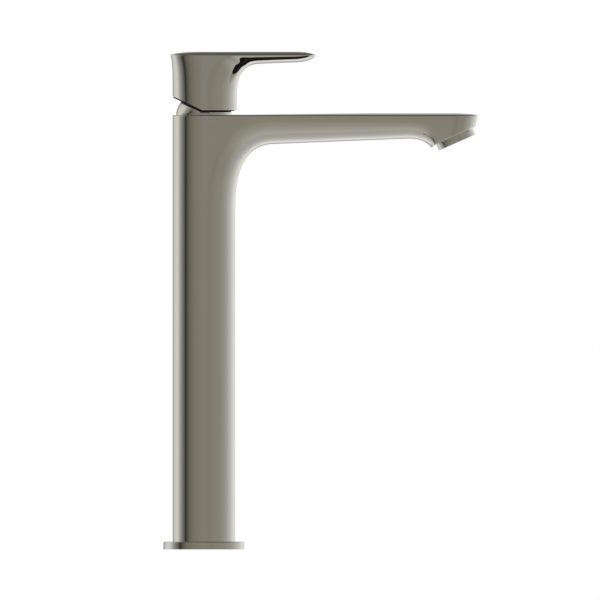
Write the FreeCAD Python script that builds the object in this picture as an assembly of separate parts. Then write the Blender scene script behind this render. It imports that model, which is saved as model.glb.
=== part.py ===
"""A tall single-lever basin tap: a round column with a horizontal spout, a lever on a dome, a ceramic
disc cartridge under the dome, and a tilted round aerator under the spout's end.

Millimetres. The origin is on the column's axis at the level of the basin deck. +X points along the
spout, +Z points up, and the hot side is -Y.
"""
import FreeCAD
import Part
import math
import os

V = FreeCAD.Vector

# ---------------------------------------------------------------- column, flange and foot
COLUMN_RADIUS = 21.0
COLUMN_WALL = 3.0
RIM_Z = 290.9                    # top edge of the column and of the spout's sides
FLANGE_OVERHANG = 6.2             # column out to the flange's edge
FLANGE_THICKNESS = 5.2
FLANGE_EDGE_ROUND = 0.6
SPIGOT_STEP = 1.6                # column in to its turned-down end inside the flange
SPIGOT_FLOOR_GAP = 1.0
GASKET_INSET = 1.8               # flange's edge in to the gasket
GASKET_WIDTH = 3.8
GASKET_THICKNESS = 1.5
FOOT_HEIGHT = 30.0
FOOT_SEAL_DROP = 6.0             # foot block's top down to its ring
STUD_HOLE_RADIUS = 3.4           # tapped M8
STUD_HOLE_DEPTH = 16.0
INLET_SPACING = 19.0             # between the hot and cold inlets
INLET_RADIUS = 4.5               # tapped M10x1
INLET_DEPTH = 14.0

# ---------------------------------------------------------------- supply tubes
TUBE_RADIUS = 4.0
TUBE_BORE_RADIUS = 3.2
TUBE_SOCKET_DEPTH = 7.0

# ---------------------------------------------------------------- spout
NOSE_REACH = 183.6               # column axis to the tip of the spout
NOSE_RADIUS = 16.3
NOSE_LEAN = 13.0                 # degrees, the nose falls back towards the outlet
CORNER_DROP = 62.9               # rim down to where the inner corner starts on the column
CORNER_RUN = 25.0                # column face out to where the inner corner ends under the spout
SPOUT_DEPTH_NEAR = 19.3          # rim to underside at the inner corner
SPOUT_DEPTH_FAR = 15.65          # rim to underside where it starts to dip to the outlet
SIDE_FLAT = 4.9                  # flat part of the spout's side below the rim
DIP_LENGTH = 47.6                # tip of the spout back to where the underside starts to dip
DIP_HOLD = 11.0                  # the underside runs on this far before it bends down
LIP_BACK = 2.6                   # the lip behind the outlet, back and down from the heel
LIP_DROP = 2.25
CROWN_HEIGHT = 1.15
CROWN_START = 0.12               # share of the crown's height over the column
CROWN_END_BACK = 58.6            # tip of the spout back to where the crown has its full height
RIM_ROUND = 0.35

# ---------------------------------------------------------------- outlet
OUTLET_SET_BACK = 15.7           # tip of the spout back to the outlet's centre
OUTLET_DROP = 13.9               # rim down to the outlet's centre
OUTLET_TILT = 24.0               # degrees from straight down, towards the front
COLLAR_RADIUS = 13.4
COLLAR_LENGTH = 4.8
COLLAR_ROUND = 0.5
HEEL_BACK = 12.7                 # outlet centre back to the heel of the slanted face
AERATOR_BORE_RADIUS = 11.2
AERATOR_BORE_DEPTH = 9.0
AERATOR_SPIGOT_LENGTH = 6.2
AERATOR_SEAT_RADIUS = 9.6
AERATOR_LIP_WIDTH = 0.7
AERATOR_LIP_HEIGHT = 1.0
SCREEN_RECESS = 0.6
SCREEN_THICKNESS = 1.2
SCREEN_HOLE_RADIUS = 0.62
SCREEN_HOLE_PITCH = 2.1
INSERT_THICKNESS = 3.4
INSERT_WALL = 1.5
INSERT_JET_COUNT = 12
INSERT_JET_RADIUS = 0.7
INSERT_JET_CIRCLE = 6.8
REGULATOR_THICKNESS = 2.2
REGULATOR_RADIUS = 8.4
REGULATOR_HOLE_COUNT = 6
REGULATOR_HOLE_RADIUS = 0.9
REGULATOR_HOLE_CIRCLE = 4.6
WASHER_THICKNESS = 1.6
WASHER_INNER_RADIUS = 8.7

# ---------------------------------------------------------------- cartridge seat and waterways
SEAT_THICKNESS = 22.0
PORT_RADIUS = 2.4
PORT_Y = 8.2
OUTLET_PORT_X = -6.3
GALLERY_RADIUS = 2.8
GALLERY_DROP = 10.0              # chamber floor down to the gallery's axis
RISER_INNER_RADIUS = 16.3
RISER_WALL = 1.7                 # column in to the curved waterway
RISER_HALF_ANGLE = 28.0
CHANNEL_WIDTH = 18.0
CHANNEL_HEIGHT = 5.4
CHANNEL_ROOF = 7.7               # rim down to the channel's top
CHANNEL_END_BACK = 5.9           # outlet's centre back to the channel's end

# ---------------------------------------------------------------- cartridge
CARTRIDGE_RADIUS = 14.0
CARTRIDGE_WALL = 1.4
BASE_FLANGE_HEIGHT = 2.0
BASE_HEIGHT = 7.1
FIXED_DISC_THICKNESS = 3.5
MOVING_DISC_RADIUS = 9.4
MOVING_DISC_THICKNESS = 3.0
DISC_SET_BACK = 1.73             # closed discs sit this far behind the axis
DISC_PORT_Y = 6.0
DISC_PORT_RADIUS = 1.8
DISC_PORT_START_X = 0.6
DISC_PORT_RUN = 2.0
DISC_OUTLET_RADIUS = 2.4
MIXING_DEPTH = 1.8
MIXING_EDGE_X = -1.5
MIXING_LENGTH = 7.4
MIXING_WIDTH = 6.0
MIXING_WING_LENGTH = 3.0
MIXING_WING_WIDTH = 14.8
CARRIER_THICKNESS = 2.8
CARRIER_KEY_WIDTH = 3.0
CARRIER_KEY_LENGTH = 10.0
CARRIER_KEY_DEPTH = 1.0
CARRIER_BOSS_SIDE = 8.6
CARRIER_BOSS_HEIGHT = 2.7
HOUSING_SHOULDER_RISE = 0.8      # fixed disc's top up to the shoulder that the nut bears on
UPPER_HOUSING_RADIUS = 12.9
UPPER_HOUSING_WALL = 1.3
ROTOR_FLANGE_THICKNESS = 2.9
THRUST_WASHER_THICKNESS = 0.8
HOUSING_LIP_THICKNESS = 2.0
ROTOR_NECK_RADIUS = 8.6
ROTOR_TOP_ABOVE_PIVOT = 5.6
NUT_RADIUS = 15.2
NUT_TOP_GAP = 1.0                # the nut ends this far below the dome's seat
NUT_SEAT_DROP = 1.0              # and its bore starts this far below the housing's shoulder
NUT_SLOT_COUNT = 6
NUT_SLOT_WIDTH = 3.0
NUT_SLOT_DEPTH = 2.5

# ---------------------------------------------------------------- dome
PIVOT_DROP = 2.0                 # rim down to the dome's centre, about which the lever lifts
DOME_STEP = 2.0                  # column's edge in to the dome
DOME_WALL = 1.5
DOME_SKIRT_STEP = 0.3            # dome in to its upright skirt
DOME_SEAT_DEPTH = 6.1
DOME_SEAL_RISE = 2.0
DOME_OPENING_RADIUS = 13.9

# ---------------------------------------------------------------- stem
STEM_SIDE = 7.0
STEM_COVER = 10.8                # lever's rim down to the stem's top
STEM_NECK_RADIUS = 2.5
STEM_BALL_RADIUS = 3.0
STEM_BALL_DROP = 8.5             # pivot down to the ball that drives the discs
STEM_BALL_RISE = 1.95            # carrier's plate up to the ball's centre
PIVOT_PIN_RADIUS = 1.5
PIVOT_PIN_LENGTH = 16.0
LIFT_ANGLE = 24.0

# ---------------------------------------------------------------- lever
LEVER_LIFT_OFF = 3.3             # column's rim up to the lever's bottom
LEVER_HEIGHT = 37.1              # bottom to rim
LEVER_FRONT_STEP = 3.12          # dome out to the lever's front, rear and, at the bottom, sides
LEVER_REAR_STEP = 2.03
LEVER_SIDE_STEP = 2.2
LEVER_REAR_FLARE = 1.37
LEVER_FLARE_HEIGHT = 19.3
LEVER_REACH = 74.8
LEVER_TIP_RADIUS = 16.3
LEVER_DRAFT = 0.065              # the sides lean in by this much for each millimetre of height
LEVER_CORNER_DROP = 26.3         # rim down to where the inner corner starts on the front
LEVER_CORNER_RUN = 14.9
LEVER_GRIP_DEPTH_NEAR = 5.9      # rim to underside at the inner corner
LEVER_GRIP_DEPTH_FAR = 5.04      # rim to underside at the tip's centre
LEVER_RIM_BAND = 1.3             # upright band below the rim
LEVER_RIM_ROUND = 0.4
LEVER_FULLNESS_NEAR = 1.75       # 1 is a half-ellipse, 2 a flatter parabola under the grip
LEVER_FULLNESS_FAR = 2.0
LEVER_CROWN_HEIGHT = 2.13
LEVER_CROWN_POWER = 3.5
HEEL_CUT_X = -2.0                # the lever's bottom slants up behind this
HEEL_CUT_ANGLE = 25.5
LEVER_CAVITY_GAP = 0.5           # between the dome and the lever
LEVER_HUB_RADIUS = 8.5
LEVER_POCKET_STEP = 2.0          # dome in to the casting's pocket
LEVER_TOP_WALL = 5.8             # rim down to the pocket's roof
LINER_WIDTH = 1.0
LINER_HEIGHT = 1.5
LINER_STAND = 0.45               # the glide ring stands this far below the lever
GRUB_RISE = 18.8                 # lever's bottom up to the grub screw
GRUB_RADIUS = 2.5                # M5
GRUB_LENGTH = 4.6
GRUB_HEX_SIDE = 1.45
GRUB_HEX_DEPTH = 2.5
INDEX_PLUG_RADIUS = 3.2
INDEX_PLUG_LENGTH = 4.6
INDEX_INSET_RADIUS = 2.4
INDEX_INSET_DEPTH = 0.7
INDEX_DIVIDER = 0.25

# ---------------------------------------------------------------- clearances
SEAT_CLEARANCE = 0.05            # radial, between pieces that are fixed together
RUNNING_CLEARANCE = 0.05         # radial, between a turning piece and its bore
FLAT_GAP = 0.05                  # between flat faces that slide
SLOT_CLEARANCE = 0.1
SWING_CLEARANCE = 0.3
O_RING_SECTION = 1.6             # diameter of the larger rings
SMALL_RING_SECTION = 1.0
RING_CLEARANCE = 0.04
OVERSHOOT = 5.0                  # cutters reach this far past what they cut

# ---------------------------------------------------------------- worked out from the values above
COLUMN_BORE_RADIUS = COLUMN_RADIUS - COLUMN_WALL
FLANGE_RADIUS = COLUMN_RADIUS + FLANGE_OVERHANG
SPIGOT_RADIUS = COLUMN_RADIUS - SPIGOT_STEP
GASKET_INNER_RADIUS = FLANGE_RADIUS - GASKET_INSET - GASKET_WIDTH
RISER_OUTER_RADIUS = COLUMN_RADIUS - RISER_WALL
NOSE_X = NOSE_REACH - NOSE_RADIUS
DIP_START_X = NOSE_REACH - DIP_LENGTH
CROWN_END_X = NOSE_REACH - CROWN_END_BACK
OUTLET_X = NOSE_REACH - OUTLET_SET_BACK
OUTLET_Z = RIM_Z - OUTLET_DROP
CHANNEL_TOP_Z = RIM_Z - CHANNEL_ROOF
CHANNEL_FLOOR_Z = CHANNEL_TOP_Z - CHANNEL_HEIGHT
CHANNEL_END_X = OUTLET_X - CHANNEL_END_BACK
TAPER = (COLUMN_RADIUS - NOSE_RADIUS) / NOSE_X
INLET_Y = INLET_SPACING / 2
PIVOT_Z = RIM_Z - PIVOT_DROP
CARRIER_TOP_Z = PIVOT_Z - STEM_BALL_DROP - STEM_BALL_RISE
MOVING_DISC_TOP_Z = CARRIER_TOP_Z - CARRIER_THICKNESS
FIXED_DISC_TOP_Z = MOVING_DISC_TOP_Z - MOVING_DISC_THICKNESS - FLAT_GAP
BASE_TOP_Z = FIXED_DISC_TOP_Z - FIXED_DISC_THICKNESS
CHAMBER_FLOOR_Z = BASE_TOP_Z - BASE_HEIGHT
SEAT_FLOOR_Z = CHAMBER_FLOOR_Z - SEAT_THICKNESS
ROTOR_FLANGE_Z = CARRIER_TOP_Z + FLAT_GAP
ROTOR_FLANGE_TOP_Z = ROTOR_FLANGE_Z + ROTOR_FLANGE_THICKNESS
THRUST_WASHER_TOP_Z = ROTOR_FLANGE_TOP_Z + THRUST_WASHER_THICKNESS
HOUSING_LIP_Z = THRUST_WASHER_TOP_Z + FLAT_GAP
HOUSING_TOP_Z = HOUSING_LIP_Z + HOUSING_LIP_THICKNESS
HOUSING_SHOULDER_Z = FIXED_DISC_TOP_Z + HOUSING_SHOULDER_RISE
NUT_SEAT_Z = HOUSING_SHOULDER_Z - NUT_SEAT_DROP
HOUSING_INNER_RADIUS = CARTRIDGE_RADIUS - CARTRIDGE_WALL
UPPER_INNER_RADIUS = UPPER_HOUSING_RADIUS - UPPER_HOUSING_WALL
DISC_TRAVEL = STEM_BALL_DROP * math.sin(math.radians(LIFT_ANGLE))
DOME_RADIUS = COLUMN_RADIUS - DOME_STEP
DOME_SKIRT_RADIUS = DOME_RADIUS - DOME_SKIRT_STEP
DOME_SEAT_Z = RIM_Z - DOME_SEAT_DEPTH
LEVER_FRONT_X = DOME_RADIUS + LEVER_FRONT_STEP
LEVER_REAR_X = DOME_RADIUS + LEVER_REAR_STEP
LEVER_HALF_WIDTH = DOME_RADIUS + LEVER_SIDE_STEP
LEVER_POCKET_RADIUS = DOME_RADIUS - LEVER_POCKET_STEP
LINER_RADIUS = DOME_RADIUS + LEVER_CAVITY_GAP + LINER_WIDTH
LEVER_BOTTOM_Z = RIM_Z + LEVER_LIFT_OFF
LEVER_RIM_Z = LEVER_BOTTOM_Z + LEVER_HEIGHT
LEVER_FLARE_START_Z = LEVER_RIM_Z - LEVER_FLARE_HEIGHT
LEVER_CORNER_START_Z = LEVER_RIM_Z - LEVER_CORNER_DROP
LEVER_POCKET_TOP_Z = LEVER_RIM_Z - LEVER_TOP_WALL
STEM_TOP_Z = LEVER_RIM_Z - STEM_COVER
GRUB_Z = LEVER_BOTTOM_Z + GRUB_RISE
HEEL_X = OUTLET_X - HEEL_BACK
LEVER_TIP_X = LEVER_REACH - LEVER_TIP_RADIUS
LEVER_TOP_HALF_WIDTH = LEVER_HALF_WIDTH - LEVER_DRAFT * (LEVER_RIM_Z - LEVER_BOTTOM_Z)
LEVER_TAPER = (LEVER_TOP_HALF_WIDTH - LEVER_TIP_RADIUS) / LEVER_TIP_X

OUTLET_SINE = math.sin(math.radians(OUTLET_TILT))
OUTLET_COSINE = math.cos(math.radians(OUTLET_TILT))
OUTLET_CENTRE = V(OUTLET_X, 0, OUTLET_Z)
OUTLET_AXIS = V(OUTLET_SINE, 0, -OUTLET_COSINE)
HEEL_Z = OUTLET_Z - HEEL_BACK * OUTLET_SINE / OUTLET_COSINE


# ---------------------------------------------------------------- helpers
def cylinder(radius, z_low, z_high, x=0.0, y=0.0):
    return Part.makeCylinder(radius, z_high - z_low, V(x, y, z_low))


def box(x_low, x_high, y_low, y_high, z_low, z_high):
    return Part.makeBox(x_high - x_low, y_high - y_low, z_high - z_low, V(x_low, y_low, z_low))


def tube(outer, inner, z_low, z_high, x=0.0, y=0.0):
    return cylinder(outer, z_low, z_high, x, y).cut(cylinder(inner, z_low, z_high, x, y))


def ring(mean_radius, section, z, x=0.0, y=0.0):
    return Part.makeTorus(mean_radius, section / 2, V(x, y, z))


def turned(profile):
    """The solid that a closed outline of (radius, z) points makes about the Z axis."""
    points = [V(radius, 0, z) for radius, z in profile]
    face = Part.Face(Part.makePolygon(points + points[:1]))
    return face.revolve(V(0, 0, 0), V(0, 0, 1), 360)


def side_plate(outline, half_width):
    """The solid that a closed outline of (x, z) points makes across the Y axis."""
    points = [V(x, -half_width, z) for x, z in outline]
    return Part.Face(Part.makePolygon(points + points[:1])).extrude(V(0, 2 * half_width, 0))


def slot(radius, x_low, x_high, y, z_low, z_high):
    """A round-ended slot along X, given by the centres of its two ends."""
    ends = cylinder(radius, z_low, z_high, x_low, y).fuse(cylinder(radius, z_low, z_high, x_high, y))
    return ends.fuse(box(x_low, x_high, y - radius, y + radius, z_low, z_high)).removeSplitter()


def around(count, radius):
    """Evenly spaced (x, y) places on a circle."""
    steps = [2 * math.pi * i / count for i in range(count)]
    return [(radius * math.cos(a), radius * math.sin(a)) for a in steps]


def bend(start, corner, end, share):
    """A point on the parabola that leaves start and reaches end along the lines through corner."""
    a, b, c = (1 - share) ** 2, 2 * share * (1 - share), share ** 2
    return (a * start[0] + b * corner[0] + c * end[0], a * start[1] + b * corner[1] + c * end[1])


def line(start, end, share):
    return (start[0] + share * (end[0] - start[0]), start[1] + share * (end[1] - start[1]))


def shares(count, first=0):
    return [i / count for i in range(first, count + 1)]


def on_outlet(shape):
    """Moves a shape built downwards from the origin onto the tilted outlet."""
    turn = FreeCAD.Rotation(V(0, 1, 0), -OUTLET_TILT)
    shape.Placement = FreeCAD.Placement(OUTLET_CENTRE, turn)
    return shape


def smooth_step(value):
    value = min(1.0, max(0.0, value))
    return value * value * (3 - 2 * value)


# ---------------------------------------------------------------- the fan form of spout and lever
FAN_COLUMNS = 20
SPINE_LEAN = 2.0                 # the spine leaves the axis at once, leaning forward by this much


def fan_surface(rows, half_width):
    """The surface through one section for each row of (spine point, keel point, fullness).

    The points are in the XZ plane. A fullness of 1 makes the section a half-ellipse, and 2 a parabola.
    """
    grid = []
    for spine, keel, fullness in rows:
        section = []
        for i in range(FAN_COLUMNS + 1):
            angle = math.pi * (i / FAN_COLUMNS - 0.5)
            x, z = line(spine, keel, max(0.0, math.cos(angle)) ** fullness)
            section.append(V(x, half_width(*spine) * math.sin(angle), z))
        grid.append(section)
    surface = Part.BSplineSurface()
    surface.interpolate(grid)
    return surface.toShape()


def edge_through(face, *points):
    """The edge of a face that runs through the given points."""
    for edge in face.Edges:
        if all(edge.distToShape(Part.Vertex(point))[0] < 1e-4 for point in points):
            return edge
    raise ValueError("the face has no such edge")


def flat_face(*edges):
    return Part.Face(Part.Wire(Part.__sortEdges__(list(edges))))


def closed_solid(faces):
    """The solid inside a closed set of faces."""
    shell = Part.makeShell(faces)
    shell.sewShape()
    solid = Part.makeSolid(Part.makeShell(shell.Faces))
    if solid.Volume < 0:
        solid.reverse()
    return solid


def fan_solid(rows, half_width, top_z):
    """The solid between the fan surface, the flat sides, the plane x = 0 and a flat top."""
    skin = fan_surface(rows, half_width)
    (first_x, first_z), (first_keel_x, first_keel_z), _ = rows[0]
    (last_x, last_z), (last_keel_x, last_keel_z), _ = rows[-1]

    def corner(x, z, side):
        return V(x, side * half_width(x, z), z)

    start_edge = edge_through(skin, corner(first_x, first_z, -1), V(first_keel_x, 0, first_keel_z))
    end_edge = edge_through(skin, corner(last_x, last_z, -1), V(last_keel_x, 0, last_keel_z))
    start_line = Part.makeLine(corner(first_x, first_z, -1), corner(first_x, first_z, 1))
    end_line = Part.makeLine(corner(last_x, last_z, -1), corner(last_x, last_z, 1))
    top_back = Part.makeLine(corner(first_x, top_z, -1), corner(first_x, top_z, 1))
    top_front = Part.makeLine(corner(last_x, top_z, -1), corner(last_x, top_z, 1))
    faces = [skin, flat_face(start_edge, start_line), flat_face(end_edge, end_line)]
    rises_back, rises_front, tops = [], [], []
    for side in (-1, 1):
        rise_back = Part.makeLine(corner(first_x, first_z, side), corner(first_x, top_z, side))
        rise_front = Part.makeLine(corner(last_x, last_z, side), corner(last_x, top_z, side))
        top = Part.makeLine(corner(first_x, top_z, side), corner(last_x, top_z, side))
        hem = edge_through(skin, corner(first_x, first_z, side), corner(last_x, last_z, side))
        faces.append(flat_face(rise_back, top, rise_front, hem))
        rises_back.append(rise_back)
        rises_front.append(rise_front)
        tops.append(top)
    faces.append(flat_face(start_line, top_back, *rises_back))
    faces.append(flat_face(end_line, top_front, *rises_front))
    faces.append(flat_face(top_back, top_front, *tops))
    return closed_solid(faces), start_edge, start_line


def crown_cutter(height_at, x_low, x_high, half_width, top_z):
    """Everything above a crowned top, given as a height over (x, y)."""
    grid = []
    for x_share in shares(40):
        x = x_low + x_share * (x_high - x_low)
        ys = [half_width * (2 * share - 1) for share in shares(16)]
        grid.append([V(x, y, height_at(x, y)) for y in ys])
    surface = Part.BSplineSurface()
    surface.interpolate(grid)
    return surface.toShape().extrude(V(0, 0, top_z))


def round_rim(solid, rim_z, radius):
    """Rounds the edge between the sides and the crowned top."""
    rim = [edge for edge in solid.Edges
           if edge.BoundBox.ZMin > rim_z - 0.05 and edge.BoundBox.ZMax < rim_z + 0.05]
    return solid.makeFillet(radius, rim)


# ---------------------------------------------------------------- spout body
def spout_half_width(x, z=0.0):
    return COLUMN_RADIUS - TAPER * x


def spout_rows():
    """Spine and keel points from the column, round the inner corner and along to the outlet's lip."""
    spine_z = RIM_Z - SIDE_FLAT
    start_z = RIM_Z - CORNER_DROP
    corner_end = (COLUMN_RADIUS + CORNER_RUN, RIM_Z - SPOUT_DEPTH_NEAR)
    dip_start = (DIP_START_X, RIM_Z - SPOUT_DEPTH_FAR)
    rise = (dip_start[1] - corner_end[1]) / (dip_start[0] - corner_end[0])
    keel_corner = (COLUMN_RADIUS, corner_end[1] - rise * CORNER_RUN)
    dip_corner = (DIP_START_X + DIP_HOLD, dip_start[1] + rise * DIP_HOLD)
    heel = (HEEL_X, HEEL_Z)
    lip = (HEEL_X - LIP_BACK, HEEL_Z - LIP_DROP)
    spine_corner = (SPINE_LEAN, spine_z)
    spine_end = (corner_end[0], spine_z)
    rows = []
    for s in shares(10):
        spine = bend((0.0, start_z), spine_corner, spine_end, s)
        rows.append((spine, bend((COLUMN_RADIUS, start_z), keel_corner, corner_end, s), 1.0))
    for s in shares(12, first=1):
        rows.append((line(spine_end, (DIP_START_X, spine_z), s), line(corner_end, dip_start, s), 1.0))
    for s in shares(6, first=1):
        spine = bend((DIP_START_X, spine_z), (DIP_START_X + DIP_HOLD, spine_z), heel, s)
        rows.append((spine, bend(dip_start, dip_corner, lip, s), 1.0))
    return rows


def spout_crown(x, y):
    """Height of the spout's softly crowned top."""
    if x < 0:
        offset = math.hypot(x, y) / COLUMN_RADIUS
    elif x < NOSE_X:
        offset = abs(y) / spout_half_width(x)
    else:
        offset = math.hypot(x - NOSE_X, y) / NOSE_RADIUS
    share = CROWN_START + (1 - CROWN_START) * smooth_step(x / CROWN_END_X)
    return RIM_Z + CROWN_HEIGHT * share * (1 - offset ** 2)


def nose_outline(z):
    """The spout's plan in front of the heel; the nose leans back below the rim."""
    centre_x = NOSE_X - (RIM_Z - z) * math.tan(math.radians(NOSE_LEAN))
    slope = math.hypot(1, TAPER)
    radius = spout_half_width(centre_x) / slope
    touch = V(centre_x + radius * TAPER / slope, radius / slope, z)
    heel = V(HEEL_X, spout_half_width(HEEL_X), z)
    mirror = FreeCAD.Matrix(1, 0, 0, 0, 0, -1, 0, 0, 0, 0, 1, 0, 0, 0, 0, 1)
    sides = [heel, touch]
    other = [mirror.multVec(point) for point in sides]
    arc = Part.Arc(touch, V(centre_x + radius, 0, z), other[1]).toShape()
    return Part.Wire([Part.makeLine(other[0], heel), Part.makeLine(heel, touch), arc,
                      Part.makeLine(other[1], other[0])])


def nose_block(top_z):
    """The end of the spout over the outlet, cut off by the outlet's slanted face."""
    low_z = HEEL_Z - OVERSHOOT
    block = Part.makeLoft([nose_outline(low_z), nose_outline(top_z)], True, True)
    reach = 2 * NOSE_REACH
    below = Part.makeBox(reach, reach, reach, V(-reach / 2, -reach / 2, 0))
    return block.cut(on_outlet(below.mirror(V(0, 0, 0), V(0, 0, 1))))


def spout_skin():
    """The outer form of column and spout, solid."""
    top_z = RIM_Z + 2 * CROWN_HEIGHT
    start_z = RIM_Z - CORNER_DROP
    arm, start_edge, start_line = fan_solid(spout_rows(), spout_half_width, top_z)
    front = flat_face(start_edge, start_line).extrude(V(0, 0, FLANGE_THICKNESS - start_z))
    rear = cylinder(COLUMN_RADIUS, FLANGE_THICKNESS, top_z)
    rear = rear.cut(box(0, 2 * COLUMN_RADIUS, -2 * COLUMN_RADIUS, 2 * COLUMN_RADIUS, 0, 2 * RIM_Z))
    skin = arm.fuse([front, rear, nose_block(top_z)]).removeSplitter()
    above = crown_cutter(spout_crown, -COLUMN_RADIUS - OVERSHOOT, NOSE_REACH + OVERSHOOT,
                         COLUMN_RADIUS + OVERSHOOT, top_z)
    return round_rim(skin.cut(above), RIM_Z, RIM_ROUND)


def riser():
    """The curved waterway that lifts the water past the cartridge."""
    low_z = CHAMBER_FLOOR_Z - GALLERY_DROP - GALLERY_RADIUS
    shell = tube(RISER_OUTER_RADIUS, RISER_INNER_RADIUS, low_z, CHANNEL_TOP_Z)
    reach = 2 * RISER_OUTER_RADIUS
    half = math.radians(RISER_HALF_ANGLE)
    outline = [V(0, 0, low_z), V(reach, -reach * math.tan(half), low_z),
               V(reach, reach * math.tan(half), low_z), V(0, 0, low_z)]
    wedge = Part.Face(Part.makePolygon(outline)).extrude(V(0, 0, CHANNEL_TOP_Z - low_z))
    return shell.common(wedge)


def spout_body():
    """Column and spout in one casting, with the cartridge seat and the waterways."""
    body = spout_skin()
    spigot = cylinder(SPIGOT_RADIUS, SPIGOT_FLOOR_GAP, FLANGE_THICKNESS)
    body = body.fuse(spigot)
    gallery_z = CHAMBER_FLOOR_Z - GALLERY_DROP
    gallery_length = RISER_INNER_RADIUS + 1 - OUTLET_PORT_X
    gallery = Part.makeCylinder(GALLERY_RADIUS, gallery_length, V(OUTLET_PORT_X, 0, gallery_z), V(1, 0, 0))
    socket_top_z = SEAT_FLOOR_Z + TUBE_SOCKET_DEPTH
    cuts = [
        cylinder(COLUMN_BORE_RADIUS, 0, SEAT_FLOOR_Z),
        cylinder(CARTRIDGE_RADIUS + SEAT_CLEARANCE, CHAMBER_FLOOR_Z, NUT_SEAT_Z),
        cylinder(NUT_RADIUS + SEAT_CLEARANCE, NUT_SEAT_Z, DOME_SEAT_Z),
        cylinder(DOME_SKIRT_RADIUS + SEAT_CLEARANCE, DOME_SEAT_Z, RIM_Z + OVERSHOOT),
        cylinder(DISC_OUTLET_RADIUS, gallery_z, CHAMBER_FLOOR_Z, OUTLET_PORT_X),
        gallery,
        riser(),
        box(RISER_INNER_RADIUS + 1, CHANNEL_END_X, -CHANNEL_WIDTH / 2, CHANNEL_WIDTH / 2,
            CHANNEL_FLOOR_Z, CHANNEL_TOP_Z),
        on_outlet(cylinder(AERATOR_BORE_RADIUS, 0, AERATOR_BORE_DEPTH)),
    ]
    for side in (-1, 1):
        cuts.append(cylinder(TUBE_RADIUS + SEAT_CLEARANCE, SEAT_FLOOR_Z, socket_top_z, 0, side * INLET_Y))
        cuts.append(cylinder(PORT_RADIUS, socket_top_z, CHAMBER_FLOOR_Z, 0, side * PORT_Y))
        cuts.append(tube_seal_groove(SEAT_FLOOR_Z + TUBE_SOCKET_DEPTH / 2, side * INLET_Y))
    for cutter in cuts:
        body = body.cut(cutter)
    return body


# ---------------------------------------------------------------- foot
def base_flange():
    """The ring under the column, with a groove for its gasket."""
    flange = tube(FLANGE_RADIUS, SPIGOT_RADIUS + SEAT_CLEARANCE, 0, FLANGE_THICKNESS)
    rims = [edge for edge in flange.Edges
            if edge.Length > 2 * math.pi * (FLANGE_RADIUS - 1) and edge.BoundBox.ZMin > 0]
    flange = flange.makeFillet(FLANGE_EDGE_ROUND, rims)
    groove = tube(GASKET_INNER_RADIUS + GASKET_WIDTH + SEAT_CLEARANCE, GASKET_INNER_RADIUS - SEAT_CLEARANCE,
                  0, GASKET_THICKNESS)
    return flange.cut(groove)


def base_gasket():
    return tube(GASKET_INNER_RADIUS + GASKET_WIDTH, GASKET_INNER_RADIUS, 0, GASKET_THICKNESS)


def tube_seal_groove(z, y):
    """The groove inside a tube's socket; the ring in it bears on the tube."""
    half = O_RING_SECTION / 2 + RING_CLEARANCE
    return cylinder(TUBE_RADIUS + 2 * half, z - half, z + half, 0, y)


def foot_seal_z():
    return FOOT_HEIGHT - FOOT_SEAL_DROP


def foot_block():
    """The block in the column's foot: the stud's thread on the axis and one inlet on each side."""
    block = cylinder(COLUMN_BORE_RADIUS - SEAT_CLEARANCE, 0, FOOT_HEIGHT)
    block = block.cut(cylinder(STUD_HOLE_RADIUS, 0, STUD_HOLE_DEPTH))
    socket_z = FOOT_HEIGHT - TUBE_SOCKET_DEPTH
    for side in (-1, 1):
        y = side * INLET_Y
        block = block.cut(cylinder(INLET_RADIUS, 0, INLET_DEPTH, 0, y))
        block = block.cut(cylinder(TUBE_BORE_RADIUS, INLET_DEPTH, socket_z, 0, y))
        block = block.cut(cylinder(TUBE_RADIUS + SEAT_CLEARANCE, socket_z, FOOT_HEIGHT, 0, y))
        block = block.cut(tube_seal_groove(socket_z + TUBE_SOCKET_DEPTH / 2, y))
    half = O_RING_SECTION / 2 + RING_CLEARANCE
    bottom = COLUMN_BORE_RADIUS - SEAT_CLEARANCE - O_RING_SECTION - RING_CLEARANCE
    groove = tube(COLUMN_BORE_RADIUS, bottom, foot_seal_z() - half, foot_seal_z() + half)
    return block.cut(groove)


def foot_seal():
    return ring(COLUMN_BORE_RADIUS - SEAT_CLEARANCE - O_RING_SECTION / 2, O_RING_SECTION, foot_seal_z())


def supply_tube(y):
    low_z = FOOT_HEIGHT - TUBE_SOCKET_DEPTH
    return tube(TUBE_RADIUS, TUBE_BORE_RADIUS, low_z, SEAT_FLOOR_Z + TUBE_SOCKET_DEPTH, 0, y)


def tube_seals():
    """Four rings, one at each end of each supply tube."""
    middle = TUBE_SOCKET_DEPTH / 2
    levels = (FOOT_HEIGHT - middle, SEAT_FLOOR_Z + middle)
    mean_radius = TUBE_RADIUS + RING_CLEARANCE + O_RING_SECTION / 2
    return Part.makeCompound([ring(mean_radius, O_RING_SECTION, z, 0, side * INLET_Y)
                              for z in levels for side in (-1, 1)])


# ---------------------------------------------------------------- cartridge
def port_places():
    return [(0.0, -PORT_Y), (0.0, PORT_Y), (OUTLET_PORT_X, 0.0)]


def disc_port_middle_x():
    return DISC_PORT_START_X + DISC_PORT_RUN / 2


def disc_ports(z_low, z_high):
    """The two inlet slots and the outlet, as they run through the fixed disc."""
    x_low, x_high = DISC_PORT_START_X, DISC_PORT_START_X + DISC_PORT_RUN
    tools = [slot(DISC_PORT_RADIUS, x_low, x_high, side * DISC_PORT_Y, z_low, z_high) for side in (-1, 1)]
    tools.append(cylinder(DISC_OUTLET_RADIUS, z_low, z_high, OUTLET_PORT_X))
    return tools


def port_ring_radius():
    return DISC_OUTLET_RADIUS + 0.6 + SMALL_RING_SECTION / 2


def disc_ring_radius():
    return DISC_PORT_RADIUS + DISC_PORT_RUN / 2 + 0.4 + SMALL_RING_SECTION / 2


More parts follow.
